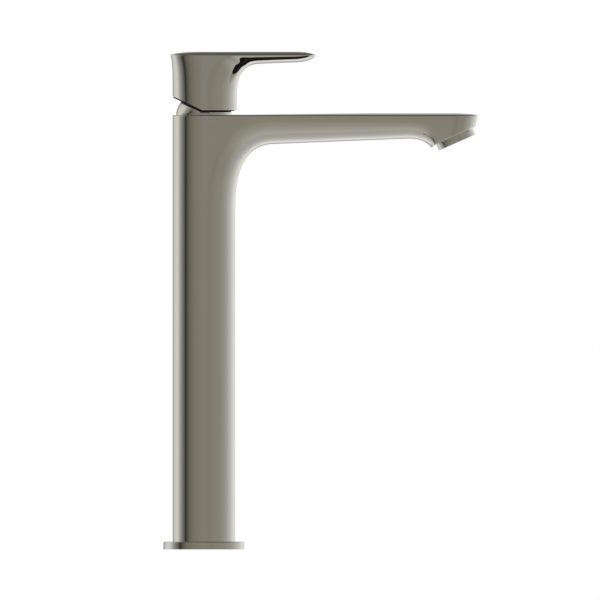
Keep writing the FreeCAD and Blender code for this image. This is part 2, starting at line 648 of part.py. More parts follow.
def ring_groove(mean_radius, z_low, z_high, x, y):
    half = SMALL_RING_SECTION / 2 + RING_CLEARANCE
    return tube(mean_radius + half, mean_radius - half, z_low, z_high, x, y)


def disc_seal_places():
    x = disc_port_middle_x()
    return [(x, -DISC_PORT_Y), (x, DISC_PORT_Y), (OUTLET_PORT_X, 0.0)]


def cartridge_base():
    """The cartridge's floor: its ports lead from the seat below to the discs above."""
    shoulder_z = CHAMBER_FLOOR_Z + BASE_FLANGE_HEIGHT
    base = cylinder(CARTRIDGE_RADIUS, CHAMBER_FLOOR_Z, shoulder_z)
    base = base.fuse(cylinder(HOUSING_INNER_RADIUS - SEAT_CLEARANCE, shoulder_z, BASE_TOP_Z)).removeSplitter()
    step_z = CHAMBER_FLOOR_Z + BASE_HEIGHT / 2
    for tool in disc_ports(step_z, BASE_TOP_Z):
        base = base.cut(tool)
    for x, y in port_places():
        base = base.cut(cylinder(PORT_RADIUS, CHAMBER_FLOOR_Z, step_z + 1, x, y))
        groove_top = CHAMBER_FLOOR_Z + SMALL_RING_SECTION + RING_CLEARANCE
        base = base.cut(ring_groove(port_ring_radius(), CHAMBER_FLOOR_Z, groove_top, x, y))
    for x, y in disc_seal_places():
        groove_low = BASE_TOP_Z - SMALL_RING_SECTION - RING_CLEARANCE
        base = base.cut(ring_groove(disc_ring_radius(), groove_low, BASE_TOP_Z, x, y))
    return base


def port_seals():
    z = CHAMBER_FLOOR_Z + SMALL_RING_SECTION / 2
    return Part.makeCompound([ring(port_ring_radius(), SMALL_RING_SECTION, z, x, y)
                              for x, y in port_places()])


def disc_seals():
    z = BASE_TOP_Z - SMALL_RING_SECTION / 2
    return Part.makeCompound([ring(disc_ring_radius(), SMALL_RING_SECTION, z, x, y)
                              for x, y in disc_seal_places()])


def fixed_disc():
    disc = cylinder(HOUSING_INNER_RADIUS - SEAT_CLEARANCE, BASE_TOP_Z, FIXED_DISC_TOP_Z)
    for tool in disc_ports(BASE_TOP_Z, FIXED_DISC_TOP_Z):
        disc = disc.cut(tool)
    return disc


def carrier_key(clearance):
    half_width = CARRIER_KEY_WIDTH / 2 + clearance
    half_length = CARRIER_KEY_LENGTH / 2 + clearance
    low_z = MOVING_DISC_TOP_Z - CARRIER_KEY_DEPTH - clearance
    return box(-DISC_SET_BACK - half_width, -DISC_SET_BACK + half_width, -half_length, half_length,
               low_z, MOVING_DISC_TOP_Z)


def moving_disc():
    """The upper disc. The hollow in its underside joins the inlets to the outlet when it slides."""
    low_z = FIXED_DISC_TOP_Z + FLAT_GAP
    disc = cylinder(MOVING_DISC_RADIUS, low_z, MOVING_DISC_TOP_Z, -DISC_SET_BACK)
    hollow = box(MIXING_EDGE_X - MIXING_LENGTH, MIXING_EDGE_X, -MIXING_WIDTH / 2, MIXING_WIDTH / 2,
                 low_z, low_z + MIXING_DEPTH)
    wings = box(MIXING_EDGE_X - MIXING_WING_LENGTH, MIXING_EDGE_X, -MIXING_WING_WIDTH / 2,
                MIXING_WING_WIDTH / 2, low_z, low_z + MIXING_DEPTH)
    return disc.cut(hollow.fuse(wings)).cut(carrier_key(SEAT_CLEARANCE))


def disc_carrier():
    """Holds the moving disc by a key; the stem's ball sits in the socket on top."""
    plate = cylinder(MOVING_DISC_RADIUS, MOVING_DISC_TOP_Z, CARRIER_TOP_Z, -DISC_SET_BACK)
    half = CARRIER_BOSS_SIDE / 2
    boss = box(-half, half, -half, half, CARRIER_TOP_Z, CARRIER_TOP_Z + CARRIER_BOSS_HEIGHT)
    carrier = plate.fuse([boss, carrier_key(0.0)]).removeSplitter()
    socket_z = PIVOT_Z - STEM_BALL_DROP - STEM_BALL_RADIUS - SWING_CLEARANCE
    return carrier.cut(cylinder(STEM_BALL_RADIUS + SWING_CLEARANCE, socket_z, CARRIER_TOP_Z + OVERSHOOT))


def cartridge_housing():
    shoulder_z = CHAMBER_FLOOR_Z + BASE_FLANGE_HEIGHT
    disc_step_z = FIXED_DISC_TOP_Z + FLAT_GAP
    neck_bore = ROTOR_NECK_RADIUS + RUNNING_CLEARANCE
    outline = [
        (HOUSING_INNER_RADIUS, shoulder_z), (CARTRIDGE_RADIUS, shoulder_z),
        (CARTRIDGE_RADIUS, HOUSING_SHOULDER_Z), (UPPER_HOUSING_RADIUS, HOUSING_SHOULDER_Z),
        (UPPER_HOUSING_RADIUS, HOUSING_TOP_Z), (neck_bore, HOUSING_TOP_Z),
        (neck_bore, HOUSING_LIP_Z), (UPPER_INNER_RADIUS, HOUSING_LIP_Z),
        (UPPER_INNER_RADIUS, disc_step_z), (HOUSING_INNER_RADIUS, disc_step_z),
    ]
    return turned(outline)


def thrust_washer():
    return tube(UPPER_INNER_RADIUS - SEAT_CLEARANCE, ROTOR_NECK_RADIUS + RUNNING_CLEARANCE,
                ROTOR_FLANGE_TOP_Z + FLAT_GAP, THRUST_WASHER_TOP_Z + FLAT_GAP)


def cartridge_nut():
    """The threaded ring that holds the cartridge down, with slots for a key."""
    top_z = DOME_SEAT_Z - NUT_TOP_GAP
    nut = tube(NUT_RADIUS, UPPER_HOUSING_RADIUS + SEAT_CLEARANCE, HOUSING_SHOULDER_Z, top_z)
    notch = box(0, NUT_RADIUS + 1, -NUT_SLOT_WIDTH / 2, NUT_SLOT_WIDTH / 2, top_z - NUT_SLOT_DEPTH, top_z + 1)
    for i in range(NUT_SLOT_COUNT):
        cutter = notch.copy()
        cutter.rotate(V(0, 0, 0), V(0, 0, 1), 360 * i / NUT_SLOT_COUNT)
        nut = nut.cut(cutter)
    return nut


def stem_rotor():
    """Turns with the lever. The stem swings in its slot and the carrier's boss slides in it."""
    top_z = PIVOT_Z + ROTOR_TOP_ABOVE_PIVOT
    rotor = cylinder(UPPER_INNER_RADIUS - SWING_CLEARANCE, ROTOR_FLANGE_Z, ROTOR_FLANGE_TOP_Z)
    rotor = rotor.fuse(cylinder(ROTOR_NECK_RADIUS, ROTOR_FLANGE_TOP_Z, top_z)).removeSplitter()
    half = CARRIER_BOSS_SIDE / 2 + SLOT_CLEARANCE
    front = CARRIER_BOSS_SIDE / 2 + DISC_TRAVEL + SWING_CLEARANCE
    boss_way = box(-half - SLOT_CLEARANCE, front, -half, half, ROTOR_FLANGE_Z, ROTOR_FLANGE_TOP_Z)
    lean = math.radians(LIFT_ANGLE)
    side = STEM_SIDE / 2 + SLOT_CLEARANCE
    rest = STEM_SIDE / 2 / math.cos(lean) + SWING_CLEARANCE
    rear = rest + ROTOR_TOP_ABOVE_PIVOT * math.tan(lean)
    ball_way = DISC_TRAVEL + STEM_BALL_RADIUS + SWING_CLEARANCE
    upper = box(-rear, rest, -side, side, PIVOT_Z, top_z)
    lower = box(-rest, ball_way, -side, side, ROTOR_FLANGE_Z, PIVOT_Z)
    rotor = rotor.cut(boss_way.fuse([upper, lower]))
    return rotor.cut(pivot_pin_rod(PIVOT_PIN_RADIUS, 2 * ROTOR_NECK_RADIUS + 2))


def pivot_pin_rod(radius, length):
    return Part.makeCylinder(radius, length, V(0, -length / 2, PIVOT_Z), V(0, 1, 0))


def pivot_pin():
    return pivot_pin_rod(PIVOT_PIN_RADIUS - SEAT_CLEARANCE / 2, PIVOT_PIN_LENGTH)


def control_stem():
    """The square stem under the lever, with the ball that moves the discs."""
    half = STEM_SIDE / 2
    shank_low = PIVOT_Z - STEM_SIDE / 2
    ball_z = PIVOT_Z - STEM_BALL_DROP
    shank = box(-half, half, -half, half, shank_low, STEM_TOP_Z)
    neck = cylinder(STEM_NECK_RADIUS, ball_z, shank_low)
    ball = Part.makeSphere(STEM_BALL_RADIUS, V(0, 0, ball_z))
    stem = shank.fuse([neck, ball]).removeSplitter()
    return stem.cut(pivot_pin_rod(PIVOT_PIN_RADIUS - SEAT_CLEARANCE / 2 + RUNNING_CLEARANCE, STEM_SIDE + 2))


# ---------------------------------------------------------------- dome
def dome_cap():
    """The round cap over the cartridge. The lever's inside glides past it."""
    inner = DOME_RADIUS - DOME_WALL
    ball = Part.makeSphere(DOME_RADIUS, V(0, 0, PIVOT_Z))
    skirt = cylinder(DOME_SKIRT_RADIUS, DOME_SEAT_Z, PIVOT_Z + DOME_RADIUS)
    skirt_top = PIVOT_Z + math.sqrt(DOME_RADIUS ** 2 - DOME_SKIRT_RADIUS ** 2)
    cap = ball.common(skirt).cut(cylinder(2 * DOME_RADIUS, 0, PIVOT_Z))
    cap = cap.fuse(cylinder(DOME_SKIRT_RADIUS, DOME_SEAT_Z, skirt_top)).removeSplitter()
    hollow = Part.makeSphere(inner, V(0, 0, PIVOT_Z))
    hollow = hollow.common(cylinder(DOME_SKIRT_RADIUS - DOME_WALL, DOME_SEAT_Z, PIVOT_Z + DOME_RADIUS))
    bore = cylinder(DOME_SKIRT_RADIUS - DOME_WALL, DOME_SEAT_Z, PIVOT_Z)
    opening = cylinder(DOME_OPENING_RADIUS, PIVOT_Z, PIVOT_Z + 2 * DOME_RADIUS)
    cap = cap.cut(hollow.fuse(bore)).cut(opening)
    half = SMALL_RING_SECTION / 2 + RING_CLEARANCE
    bottom = DOME_SKIRT_RADIUS - SMALL_RING_SECTION - RING_CLEARANCE
    return cap.cut(tube(DOME_SKIRT_RADIUS + 1, bottom, dome_seal_z() - half, dome_seal_z() + half))


def dome_seal_z():
    return DOME_SEAT_Z + DOME_SEAL_RISE


def dome_seal():
    return ring(DOME_SKIRT_RADIUS - SMALL_RING_SECTION / 2, SMALL_RING_SECTION, dome_seal_z())


# ---------------------------------------------------------------- lever
def lever_half_width(x, z):
    return LEVER_HALF_WIDTH - LEVER_TAPER * x - LEVER_DRAFT * (z - LEVER_BOTTOM_Z)


def lever_keel_far():
    return (LEVER_TIP_X, LEVER_RIM_Z - LEVER_GRIP_DEPTH_FAR)


def lever_rows():
    """Spine and keel points from the lever's front, round its inner corner, to the grip's tip."""
    spine_z = LEVER_RIM_Z - LEVER_RIM_BAND
    corner_end = (LEVER_FRONT_X + LEVER_CORNER_RUN, LEVER_RIM_Z - LEVER_GRIP_DEPTH_NEAR)
    far = lever_keel_far()
    rise = (far[1] - corner_end[1]) / (far[0] - corner_end[0])
    keel_corner = (LEVER_FRONT_X, corner_end[1] - rise * LEVER_CORNER_RUN)
    start = (0.0, LEVER_CORNER_START_Z)
    rows = []
    for s in shares(9):
        spine = bend(start, (SPINE_LEAN, spine_z), (corner_end[0], spine_z), s)
        keel = bend((LEVER_FRONT_X, LEVER_CORNER_START_Z), keel_corner, corner_end, s)
        rows.append((spine, keel, 1 + (LEVER_FULLNESS_NEAR - 1) * smooth_step(s)))
    for s in shares(5, first=1):
        fullness = LEVER_FULLNESS_NEAR + (LEVER_FULLNESS_FAR - LEVER_FULLNESS_NEAR) * s
        spine = line((corner_end[0], spine_z), (far[0], spine_z), s)
        rows.append((spine, line(corner_end, far, s), fullness))
    return rows


def lever_front(start_edge, start_line, low_z):
    """The lever's rounded front below its inner corner, with the sides' draft."""
    start_z = LEVER_CORNER_START_Z
    widen = lever_half_width(0, low_z) / lever_half_width(0, start_z)
    lower = FreeCAD.Matrix(1, 0, 0, 0, 0, widen, 0, 0, 0, 0, 1, low_z - start_z, 0, 0, 0, 1)
    low_edge = start_edge.transformGeometry(lower).Edges[0]
    low_line = start_line.transformGeometry(lower).Edges[0]
    sides = [Part.makeLine(V(0, side * lever_half_width(0, low_z), low_z),
                           V(0, side * lever_half_width(0, start_z), start_z)) for side in (-1, 1)]
    return closed_solid([Part.makeRuledSurface(low_edge, start_edge), flat_face(start_edge, start_line),
                         flat_face(low_edge, low_line), flat_face(start_line, low_line, *sides)])


def lever_rear_x(z):
    climb = max(0.0, (z - LEVER_FLARE_START_Z) / (LEVER_RIM_Z - LEVER_FLARE_START_Z))
    return LEVER_REAR_X + LEVER_REAR_FLARE * climb ** 3


def lever_rear(low_z, top_z):
    """The lever's rounded rear, flared a little towards the rim."""
    grid = []
    for s in shares(14):
        z = low_z + s * (top_z - low_z)
        angles = [math.pi * (share - 0.5) for share in shares(FAN_COLUMNS)]
        grid.append([V(-lever_rear_x(z) * math.cos(a), lever_half_width(0, z) * math.sin(a), z)
                     for a in angles])
    surface = Part.BSplineSurface()
    surface.interpolate(grid)
    skin = surface.toShape()
    faces = [skin]
    sides = []
    for side in (-1, 1):
        sides.append(Part.makeLine(V(0, side * lever_half_width(0, low_z), low_z),
                                   V(0, side * lever_half_width(0, top_z), top_z)))
    levels = []
    for z in (low_z, top_z):
        width = lever_half_width(0, z)
        across = Part.makeLine(V(0, -width, z), V(0, width, z))
        faces.append(flat_face(across, edge_through(skin, V(0, width, z), V(-lever_rear_x(z), 0, z))))
        levels.append(across)
    faces.append(flat_face(*levels, *sides))
    return closed_solid(faces)


def lever_crown(x, y):
    if x < 0:
        offset = math.hypot(x / (LEVER_REAR_X + LEVER_REAR_FLARE), y / LEVER_TOP_HALF_WIDTH)
    elif x < LEVER_TIP_X:
        offset = abs(y) / lever_half_width(x, LEVER_RIM_Z)
    else:
        offset = math.hypot(x - LEVER_TIP_X, y) / LEVER_TIP_RADIUS
    return LEVER_RIM_Z + LEVER_CROWN_HEIGHT * (1 - offset ** LEVER_CROWN_POWER)


def lever_bow(grip):
    """The grip's round tip: half of its end face, turned about the tip's centre."""
    ends = [face for face in grip.Faces if abs(face.BoundBox.XMin - LEVER_TIP_X) < 1e-3]
    half_space = box(0, LEVER_REACH, 0, LEVER_REACH, 0, 2 * LEVER_RIM_Z)
    halves = [end.common(half_space).Faces[0] for end in ends]
    turned_ends = [half.revolve(V(LEVER_TIP_X, 0, 0), V(0, 0, 1), -180) for half in halves]
    return turned_ends[0].fuse(turned_ends[1:])


def below_lever(rise):
    """Everything under the lever's bottom, which slants up at the rear; it can be raised."""
    reach = 2 * LEVER_REACH
    slope = math.tan(math.radians(HEEL_CUT_ANGLE))
    low = LEVER_BOTTOM_Z - OVERSHOOT
    plate = side_plate([(-reach, low), (reach, low), (reach, LEVER_BOTTOM_Z), (HEEL_CUT_X, LEVER_BOTTOM_Z),
                        (-reach, LEVER_BOTTOM_Z + slope * (reach + HEEL_CUT_X))], reach)
    plate.translate(V(0, 0, rise))
    return plate


def liner_band(radius, low, high):
    """A round band along the lever's bottom, from one height over it to another."""
    band = cylinder(radius, LEVER_BOTTOM_Z - OVERSHOOT, LEVER_RIM_Z).common(below_lever(high))
    return band.cut(below_lever(low))


def lever_liner():
    """The dark glide ring let into the lever's bottom edge, just clear of the dome."""
    band = liner_band(LINER_RADIUS, -LINER_STAND, LINER_HEIGHT)
    return band.cut(Part.makeSphere(DOME_RADIUS + LEVER_CAVITY_GAP, V(0, 0, PIVOT_Z)))


def lever_skin():
    """The lever's outer form, solid."""
    low_z = LEVER_BOTTOM_Z - 2.0
    top_z = LEVER_RIM_Z + 2 * LEVER_CROWN_HEIGHT
    grip, start_edge, start_line = fan_solid(lever_rows(), lever_half_width, top_z)
    front = lever_front(start_edge, start_line, low_z)
    skin = grip.fuse([front, lever_rear(low_z, top_z), lever_bow(grip)]).removeSplitter()
    above = crown_cutter(lever_crown, -LEVER_REAR_X - LEVER_REAR_FLARE - OVERSHOOT, LEVER_REACH + OVERSHOOT,
                         LEVER_HALF_WIDTH + OVERSHOOT, top_z)
    return round_rim(skin.cut(above), LEVER_RIM_Z, LEVER_RIM_ROUND).cut(below_lever(0.0))


def lever_hollow():
    """The ball-shaped space over the dome, and the casting's pocket around the hub."""
    ball = Part.makeSphere(DOME_RADIUS + LEVER_CAVITY_GAP, V(0, 0, PIVOT_Z))
    pocket = tube(LEVER_POCKET_RADIUS, LEVER_HUB_RADIUS, PIVOT_Z, LEVER_POCKET_TOP_Z)
    half = STEM_SIDE / 2 + SEAT_CLEARANCE
    socket = box(-half, half, -half, half, PIVOT_Z, STEM_TOP_Z + SEAT_CLEARANCE)
    return [ball, pocket, socket]


def along_x(radius, x_low, x_high, z):
    return Part.makeCylinder(radius, x_high - x_low, V(x_low, 0, z), V(1, 0, 0))


def lever_handle(skin):
    handle = skin
    for tool in lever_hollow():
        handle = handle.cut(tool)
    handle = handle.cut(liner_band(LINER_RADIUS + SEAT_CLEARANCE, 0.0, LINER_HEIGHT))
    handle = handle.cut(along_x(GRUB_RADIUS + SEAT_CLEARANCE, 0, LEVER_HUB_RADIUS + 1, GRUB_Z))
    plug_way = along_x(INDEX_PLUG_RADIUS + SEAT_CLEARANCE, LEVER_POCKET_RADIUS - 2, LEVER_REACH / 2, GRUB_Z)
    return handle.cut(plug_way)


def grub_screw():
    """Clamps the lever on the stem, with a hexagon socket facing the front."""
    start = STEM_SIDE / 2 + SEAT_CLEARANCE
    screw = along_x(GRUB_RADIUS, start, start + GRUB_LENGTH, GRUB_Z)
    end_x = start + GRUB_LENGTH
    corners = [V(end_x, y, GRUB_Z + z) for y, z in around(6, GRUB_HEX_SIDE)]
    hexagon = Part.Face(Part.makePolygon(corners + corners[:1]))
    return screw.cut(hexagon.extrude(V(-GRUB_HEX_DEPTH, 0, 0)))


def index_inset(skin, side):
    """One half of the round temperature mark in the plug's face."""
    mark = along_x(INDEX_INSET_RADIUS, LEVER_FRONT_X - 3, LEVER_REACH / 2, GRUB_Z)
    half = box(0, LEVER_REACH, INDEX_DIVIDER, LEVER_REACH, 0, 2 * LEVER_RIM_Z)
    if side < 0:
        half = half.mirror(V(0, 0, 0), V(0, 1, 0))
    inside = skin.copy()
    inside.translate(V(-INDEX_INSET_DEPTH, 0, 0))
    return mark.common(half).common(skin).cut(inside)


def index_plug(skin):
    """Closes the grub screw's hole, flush with the lever's front."""
    low_x = LEVER_FRONT_X - INDEX_PLUG_LENGTH
    plug = along_x(INDEX_PLUG_RADIUS, low_x, LEVER_REACH / 2, GRUB_Z).common(skin)
    return plug.cut(index_inset(skin, -1)).cut(index_inset(skin, 1))


# ---------------------------------------------------------------- aerator
def aerator_bottom():
    return -COLLAR_LENGTH


def aerator_floor():
    """Where the insert rests inside the collar."""
    return aerator_bottom() + SCREEN_RECESS + AERATOR_LIP_HEIGHT


def aerator_housing():
    """The round collar seen at the outlet and the threaded spigot above it."""
    bottom = aerator_bottom()
    lip_radius = AERATOR_SEAT_RADIUS - AERATOR_LIP_WIDTH
    spigot_radius = AERATOR_BORE_RADIUS - SEAT_CLEARANCE
    outline = [
        (lip_radius, bottom), (COLLAR_RADIUS - COLLAR_ROUND, bottom),
        (COLLAR_RADIUS, bottom + COLLAR_ROUND), (COLLAR_RADIUS, 0),
        (spigot_radius, 0), (spigot_radius, AERATOR_SPIGOT_LENGTH),
        (AERATOR_SEAT_RADIUS, AERATOR_SPIGOT_LENGTH), (AERATOR_SEAT_RADIUS, aerator_floor()),
        (lip_radius, aerator_floor()),
    ]
    return on_outlet(turned(outline))


def aerator_screen():
    """The outlet's grid of small holes, just inside the collar's lip."""
    low_z = aerator_floor()
    screen = cylinder(AERATOR_SEAT_RADIUS - SEAT_CLEARANCE, low_z, low_z + SCREEN_THICKNESS)
    reach = AERATOR_SEAT_RADIUS - AERATOR_LIP_WIDTH - 2 * SCREEN_HOLE_RADIUS
    rows = int(reach / (SCREEN_HOLE_PITCH * math.sqrt(0.75)))
    holes = []
    for row in range(-rows, rows + 1):
        y = row * SCREEN_HOLE_PITCH * math.sqrt(0.75)
        shift = SCREEN_HOLE_PITCH / 2 * (row % 2)
        for i in range(-rows - 1, rows + 2):
            x = i * SCREEN_HOLE_PITCH + shift
            if math.hypot(x, y) < reach:
                holes.append(cylinder(SCREEN_HOLE_RADIUS, low_z, low_z + SCREEN_THICKNESS, x, y))
    return on_outlet(screen.cut(Part.makeCompound(holes)))


def aerator_insert():
    """Mixes air into the water: a disc with a ring of jets and a hollow below them."""
    low_z = aerator_floor() + SCREEN_THICKNESS
    insert = cylinder(AERATOR_SEAT_RADIUS - SEAT_CLEARANCE, low_z, low_z + INSERT_THICKNESS)
    insert = insert.cut(cylinder(AERATOR_SEAT_RADIUS - INSERT_WALL, low_z, low_z + INSERT_THICKNESS / 2))
    for x, y in around(INSERT_JET_COUNT, INSERT_JET_CIRCLE):
        insert = insert.cut(cylinder(INSERT_JET_RADIUS, low_z, low_z + INSERT_THICKNESS, x, y))
    return on_outlet(insert)


def flow_regulator():
    low_z = aerator_floor() + SCREEN_THICKNESS + INSERT_THICKNESS
    disc = cylinder(REGULATOR_RADIUS, low_z, low_z + REGULATOR_THICKNESS)
    for x, y in around(REGULATOR_HOLE_COUNT, REGULATOR_HOLE_CIRCLE):
        disc = disc.cut(cylinder(REGULATOR_HOLE_RADIUS, low_z, low_z + REGULATOR_THICKNESS, x, y))
    return on_outlet(disc)


def aerator_washer():
    """The flat ring between the collar's spigot and the bottom of its bore."""
    return on_outlet(tube(AERATOR_BORE_RADIUS - SEAT_CLEARANCE, WASHER_INNER_RADIUS,
                          AERATOR_SPIGOT_LENGTH, AERATOR_SPIGOT_LENGTH + WASHER_THICKNESS))


# ---------------------------------------------------------------- all sub-parts
def all_parts():
    skin = lever_skin()
    return {
        "spout_body": spout_body(),
        "base_flange": base_flange(),
        "base_gasket": base_gasket(),
        "foot_block": foot_block(),
        "foot_seal": foot_seal(),
        "supply_tube_hot": supply_tube(-INLET_Y),
        "supply_tube_cold": supply_tube(INLET_Y),
        "tube_seals": tube_seals(),
        "cartridge_base": cartridge_base(),
        "port_seals": port_seals(),
        "disc_seals": disc_seals(),
        "fixed_disc": fixed_disc(),
        "moving_disc": moving_disc(),
        "disc_carrier": disc_carrier(),
        "cartridge_housing": cartridge_housing(),
        "thrust_washer": thrust_washer(),
        "cartridge_nut": cartridge_nut(),
        "stem_rotor": stem_rotor(),
        "pivot_pin": pivot_pin(),
        "control_stem": control_stem(),
        "dome_cap": dome_cap(),
        "dome_seal": dome_seal(),
        "lever_handle": lever_handle(skin),
        "lever_liner": lever_liner(),
        "grub_screw": grub_screw(),
        "index_plug": index_plug(skin),
        "index_hot": index_inset(skin, -1),
        "index_cold": index_inset(skin, 1),
        "aerator_housing": aerator_housing(),
        "aerator_screen": aerator_screen(),
        "aerator_insert": aerator_insert(),
        "flow_regulator": flow_regulator(),
        "aerator_washer": aerator_washer(),
    }


os.makedirs("parts", exist_ok=True)
for name, shape in all_parts().items():
    shape.exportStep("parts/" + name + ".step")
    print(name, "valid" if shape.isValid() else "NOT VALID", len(shape.Solids), round(shape.Volume, 1))
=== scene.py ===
"""Looks of a tall single-lever basin mixer in polished warm nickel.

The outer skins are worked out in millimetres, as in the CAD, and Blender gets them in metres.
"""
import bmesh
import bpy
import math
from mathutils import Matrix, Vector

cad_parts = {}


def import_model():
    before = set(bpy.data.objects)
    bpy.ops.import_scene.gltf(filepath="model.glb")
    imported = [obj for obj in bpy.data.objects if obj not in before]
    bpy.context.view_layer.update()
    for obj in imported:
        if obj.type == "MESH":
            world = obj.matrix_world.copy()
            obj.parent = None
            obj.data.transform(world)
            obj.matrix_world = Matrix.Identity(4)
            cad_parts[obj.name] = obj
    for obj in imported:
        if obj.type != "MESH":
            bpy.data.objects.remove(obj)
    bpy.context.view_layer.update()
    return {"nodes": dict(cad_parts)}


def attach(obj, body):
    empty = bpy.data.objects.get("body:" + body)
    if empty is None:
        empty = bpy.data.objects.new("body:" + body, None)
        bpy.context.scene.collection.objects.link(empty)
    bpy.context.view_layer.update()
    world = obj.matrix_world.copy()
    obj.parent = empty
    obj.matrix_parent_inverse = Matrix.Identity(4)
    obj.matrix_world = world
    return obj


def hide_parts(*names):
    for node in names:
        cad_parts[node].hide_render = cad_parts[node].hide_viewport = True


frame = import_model()
nodes = frame["nodes"]
MM = 0.001


# ---------------------------------------------------------------- node helpers
def new_tree(name):
    material = bpy.data.materials.new(name)
    material.use_nodes = True
    tree = material.node_tree
    tree.nodes.clear()
    return material, tree


def add(tree, kind, **values):
    """Adds a node; names that start with in_ set its sockets, the others its properties."""
    node = tree.nodes.new(kind)
    for key, value in values.items():
        if key.startswith("in_"):
            node.inputs[key[3:].replace("_", " ")].default_value = value
        else:
            setattr(node, key, value)
    return node


def ramp(tree, stops):
    """A colour ramp; each stop is a position with a grey level or a colour."""
    node = tree.nodes.new("ShaderNodeValToRGB")
    elements = node.color_ramp.elements
    while len(elements) < len(stops):
        elements.new(0.5)
    for element, (position, level) in zip(elements, stops):
        element.position = position
        colour = level if isinstance(level, tuple) else (level, level, level)
        element.color = (*colour, 1.0)
    return node


def math_node(tree, operation, a, b=None):
    """A maths node on sockets or plain numbers; gives its result's socket."""
    node = tree.nodes.new("ShaderNodeMath")
    node.operation = operation
    for slot, value in ((0, a), (1, b)):
        if isinstance(value, (int, float)):
            node.inputs[slot].default_value = value
        elif value is not None:
            tree.links.new(value, node.inputs[slot])
    return node.outputs[0]


def between(tree, value, low, high, to_low=0.0, to_high=1.0):
    """Goes smoothly from one value to another while the input goes from low to high."""
    node = add(tree, "ShaderNodeMapRange", interpolation_type="SMOOTHSTEP",
               in_From_Min=low, in_From_Max=high, in_To_Min=to_low, in_To_Max=to_high)
    tree.links.new(value, node.inputs["Value"])
    return node.outputs[0]


# ---------------------------------------------------------------- materials
NICKEL = (0.68, 0.65, 0.57)
TINT_SPAN = (0.3, 0.7)            # of the patches' noise, over which the colour goes from dim to full


def surface(name, colour, roughness, grain_scale, grain_strength, metallic=0.0,
            patch_scale=60.0, patch_detail=4.0, dim=0.9, wear=0.08, wear_span=(0.35, 0.75),
            grain_detail=3.0, grain_depth=0.0003):
    """A surface with soft patches in its colour and polish, and a fine grain."""
    material, tree = new_tree(name)
    shader = add(tree, "ShaderNodeBsdfPrincipled", in_Metallic=metallic)
    output = add(tree, "ShaderNodeOutputMaterial")
    place = add(tree, "ShaderNodeTexCoord")
    patches = add(tree, "ShaderNodeTexNoise", in_Scale=patch_scale, in_Detail=patch_detail)
    tint = ramp(tree, [(TINT_SPAN[0], tuple(c * dim for c in colour)), (TINT_SPAN[1], colour)])
    polish = ramp(tree, [(wear_span[0], roughness), (wear_span[1], roughness + wear)])
    grain = add(tree, "ShaderNodeTexNoise", in_Scale=grain_scale, in_Detail=grain_detail)
    bump = add(tree, "ShaderNodeBump", in_Strength=grain_strength, in_Distance=grain_depth)
    link = tree.links.new
    link(place.outputs["Object"], patches.inputs["Vector"])
    link(place.outputs["Object"], grain.inputs["Vector"])
    link(patches.outputs["Fac"], tint.inputs["Fac"])
    link(patches.outputs["Fac"], polish.inputs["Fac"])
    link(tint.outputs["Color"], shader.inputs["Base Color"])
    link(polish.outputs["Color"], shader.inputs["Roughness"])
    link(grain.outputs["Fac"], bump.inputs["Height"])
    link(bump.outputs["Normal"], shader.inputs["Normal"])
    link(shader.outputs["BSDF"], output.inputs["Surface"])
    return material


metal = surface("polished_nickel", NICKEL, 0.02, 900.0, 0.003, metallic=1.0,
                patch_scale=14.0, patch_detail=3.0, dim=0.985, wear=0.012, wear_span=(0.3, 0.7),
                grain_detail=2.0, grain_depth=0.0002)
brass = surface("machined_brass", (0.68, 0.50, 0.23), 0.28, 700.0, 0.05, metallic=1.0)
rubber = surface("seal_rubber", (0.030, 0.030, 0.031), 0.62, 900.0, 0.12)
plastic = surface("cartridge_plastic", (0.74, 0.74, 0.71), 0.42, 800.0, 0.06)
grid_plastic = surface("aerator_plastic", (0.50, 0.50, 0.48), 0.38, 900.0, 0.05)
ceramic = surface("disc_ceramic", (0.86, 0.85, 0.82), 0.16, 500.0, 0.02)
# The liner is a real part of the lever. Its near-black colour, far darker than the seals' rubber, is also
# painted shade for the dark gap under the lever's bottom edge.
liner = surface("liner_black_painted_gap_shade", (0.004, 0.004, 0.004), 0.65, 900.0, 0.05)
steel = surface("ground_steel", (0.58, 0.58, 0.58), 0.30, 1100.0, 0.08, metallic=1.0)
red = surface("index_red", (0.55, 0.03, 0.03), 0.22, 600.0, 0.02)
blue = surface("index_blue", (0.03, 0.10, 0.50), 0.22, 600.0, 0.02)

FINISHES = {
    metal: ["spout_body", "base_flange", "dome_cap", "lever_handle", "aerator_housing", "index_plug"],
    brass: ["foot_block", "supply_tube_hot", "supply_tube_cold", "cartridge_nut", "control_stem"],
    rubber: ["base_gasket", "foot_seal", "tube_seals", "port_seals", "disc_seals", "dome_seal",
             "aerator_washer"],
    plastic: ["cartridge_base", "disc_carrier", "cartridge_housing", "thrust_washer", "stem_rotor"],
    grid_plastic: ["aerator_screen", "aerator_insert", "flow_regulator"],
    ceramic: ["fixed_disc", "moving_disc"],
    steel: ["pivot_pin", "grub_screw"],
    # the liner's near-black finish is partly painted shade for the gap under the lever
    liner: ["lever_liner"],
    red: ["index_hot"],
    blue: ["index_cold"],
}


def dress_cad_nodes():
    for finish, names in FINISHES.items():
        for name in names:
            data = nodes[name].data
            data.materials.clear()
            data.materials.append(finish)


# ---------------------------------------------------------------- meshes
def mesh_object(name, vertices, faces):
    data = bpy.data.meshes.new(name)
    data.from_pydata(vertices, [], faces)
    data.update()
    piece = bpy.data.objects.new(name, data)
    bpy.context.scene.collection.objects.link(piece)
    return piece


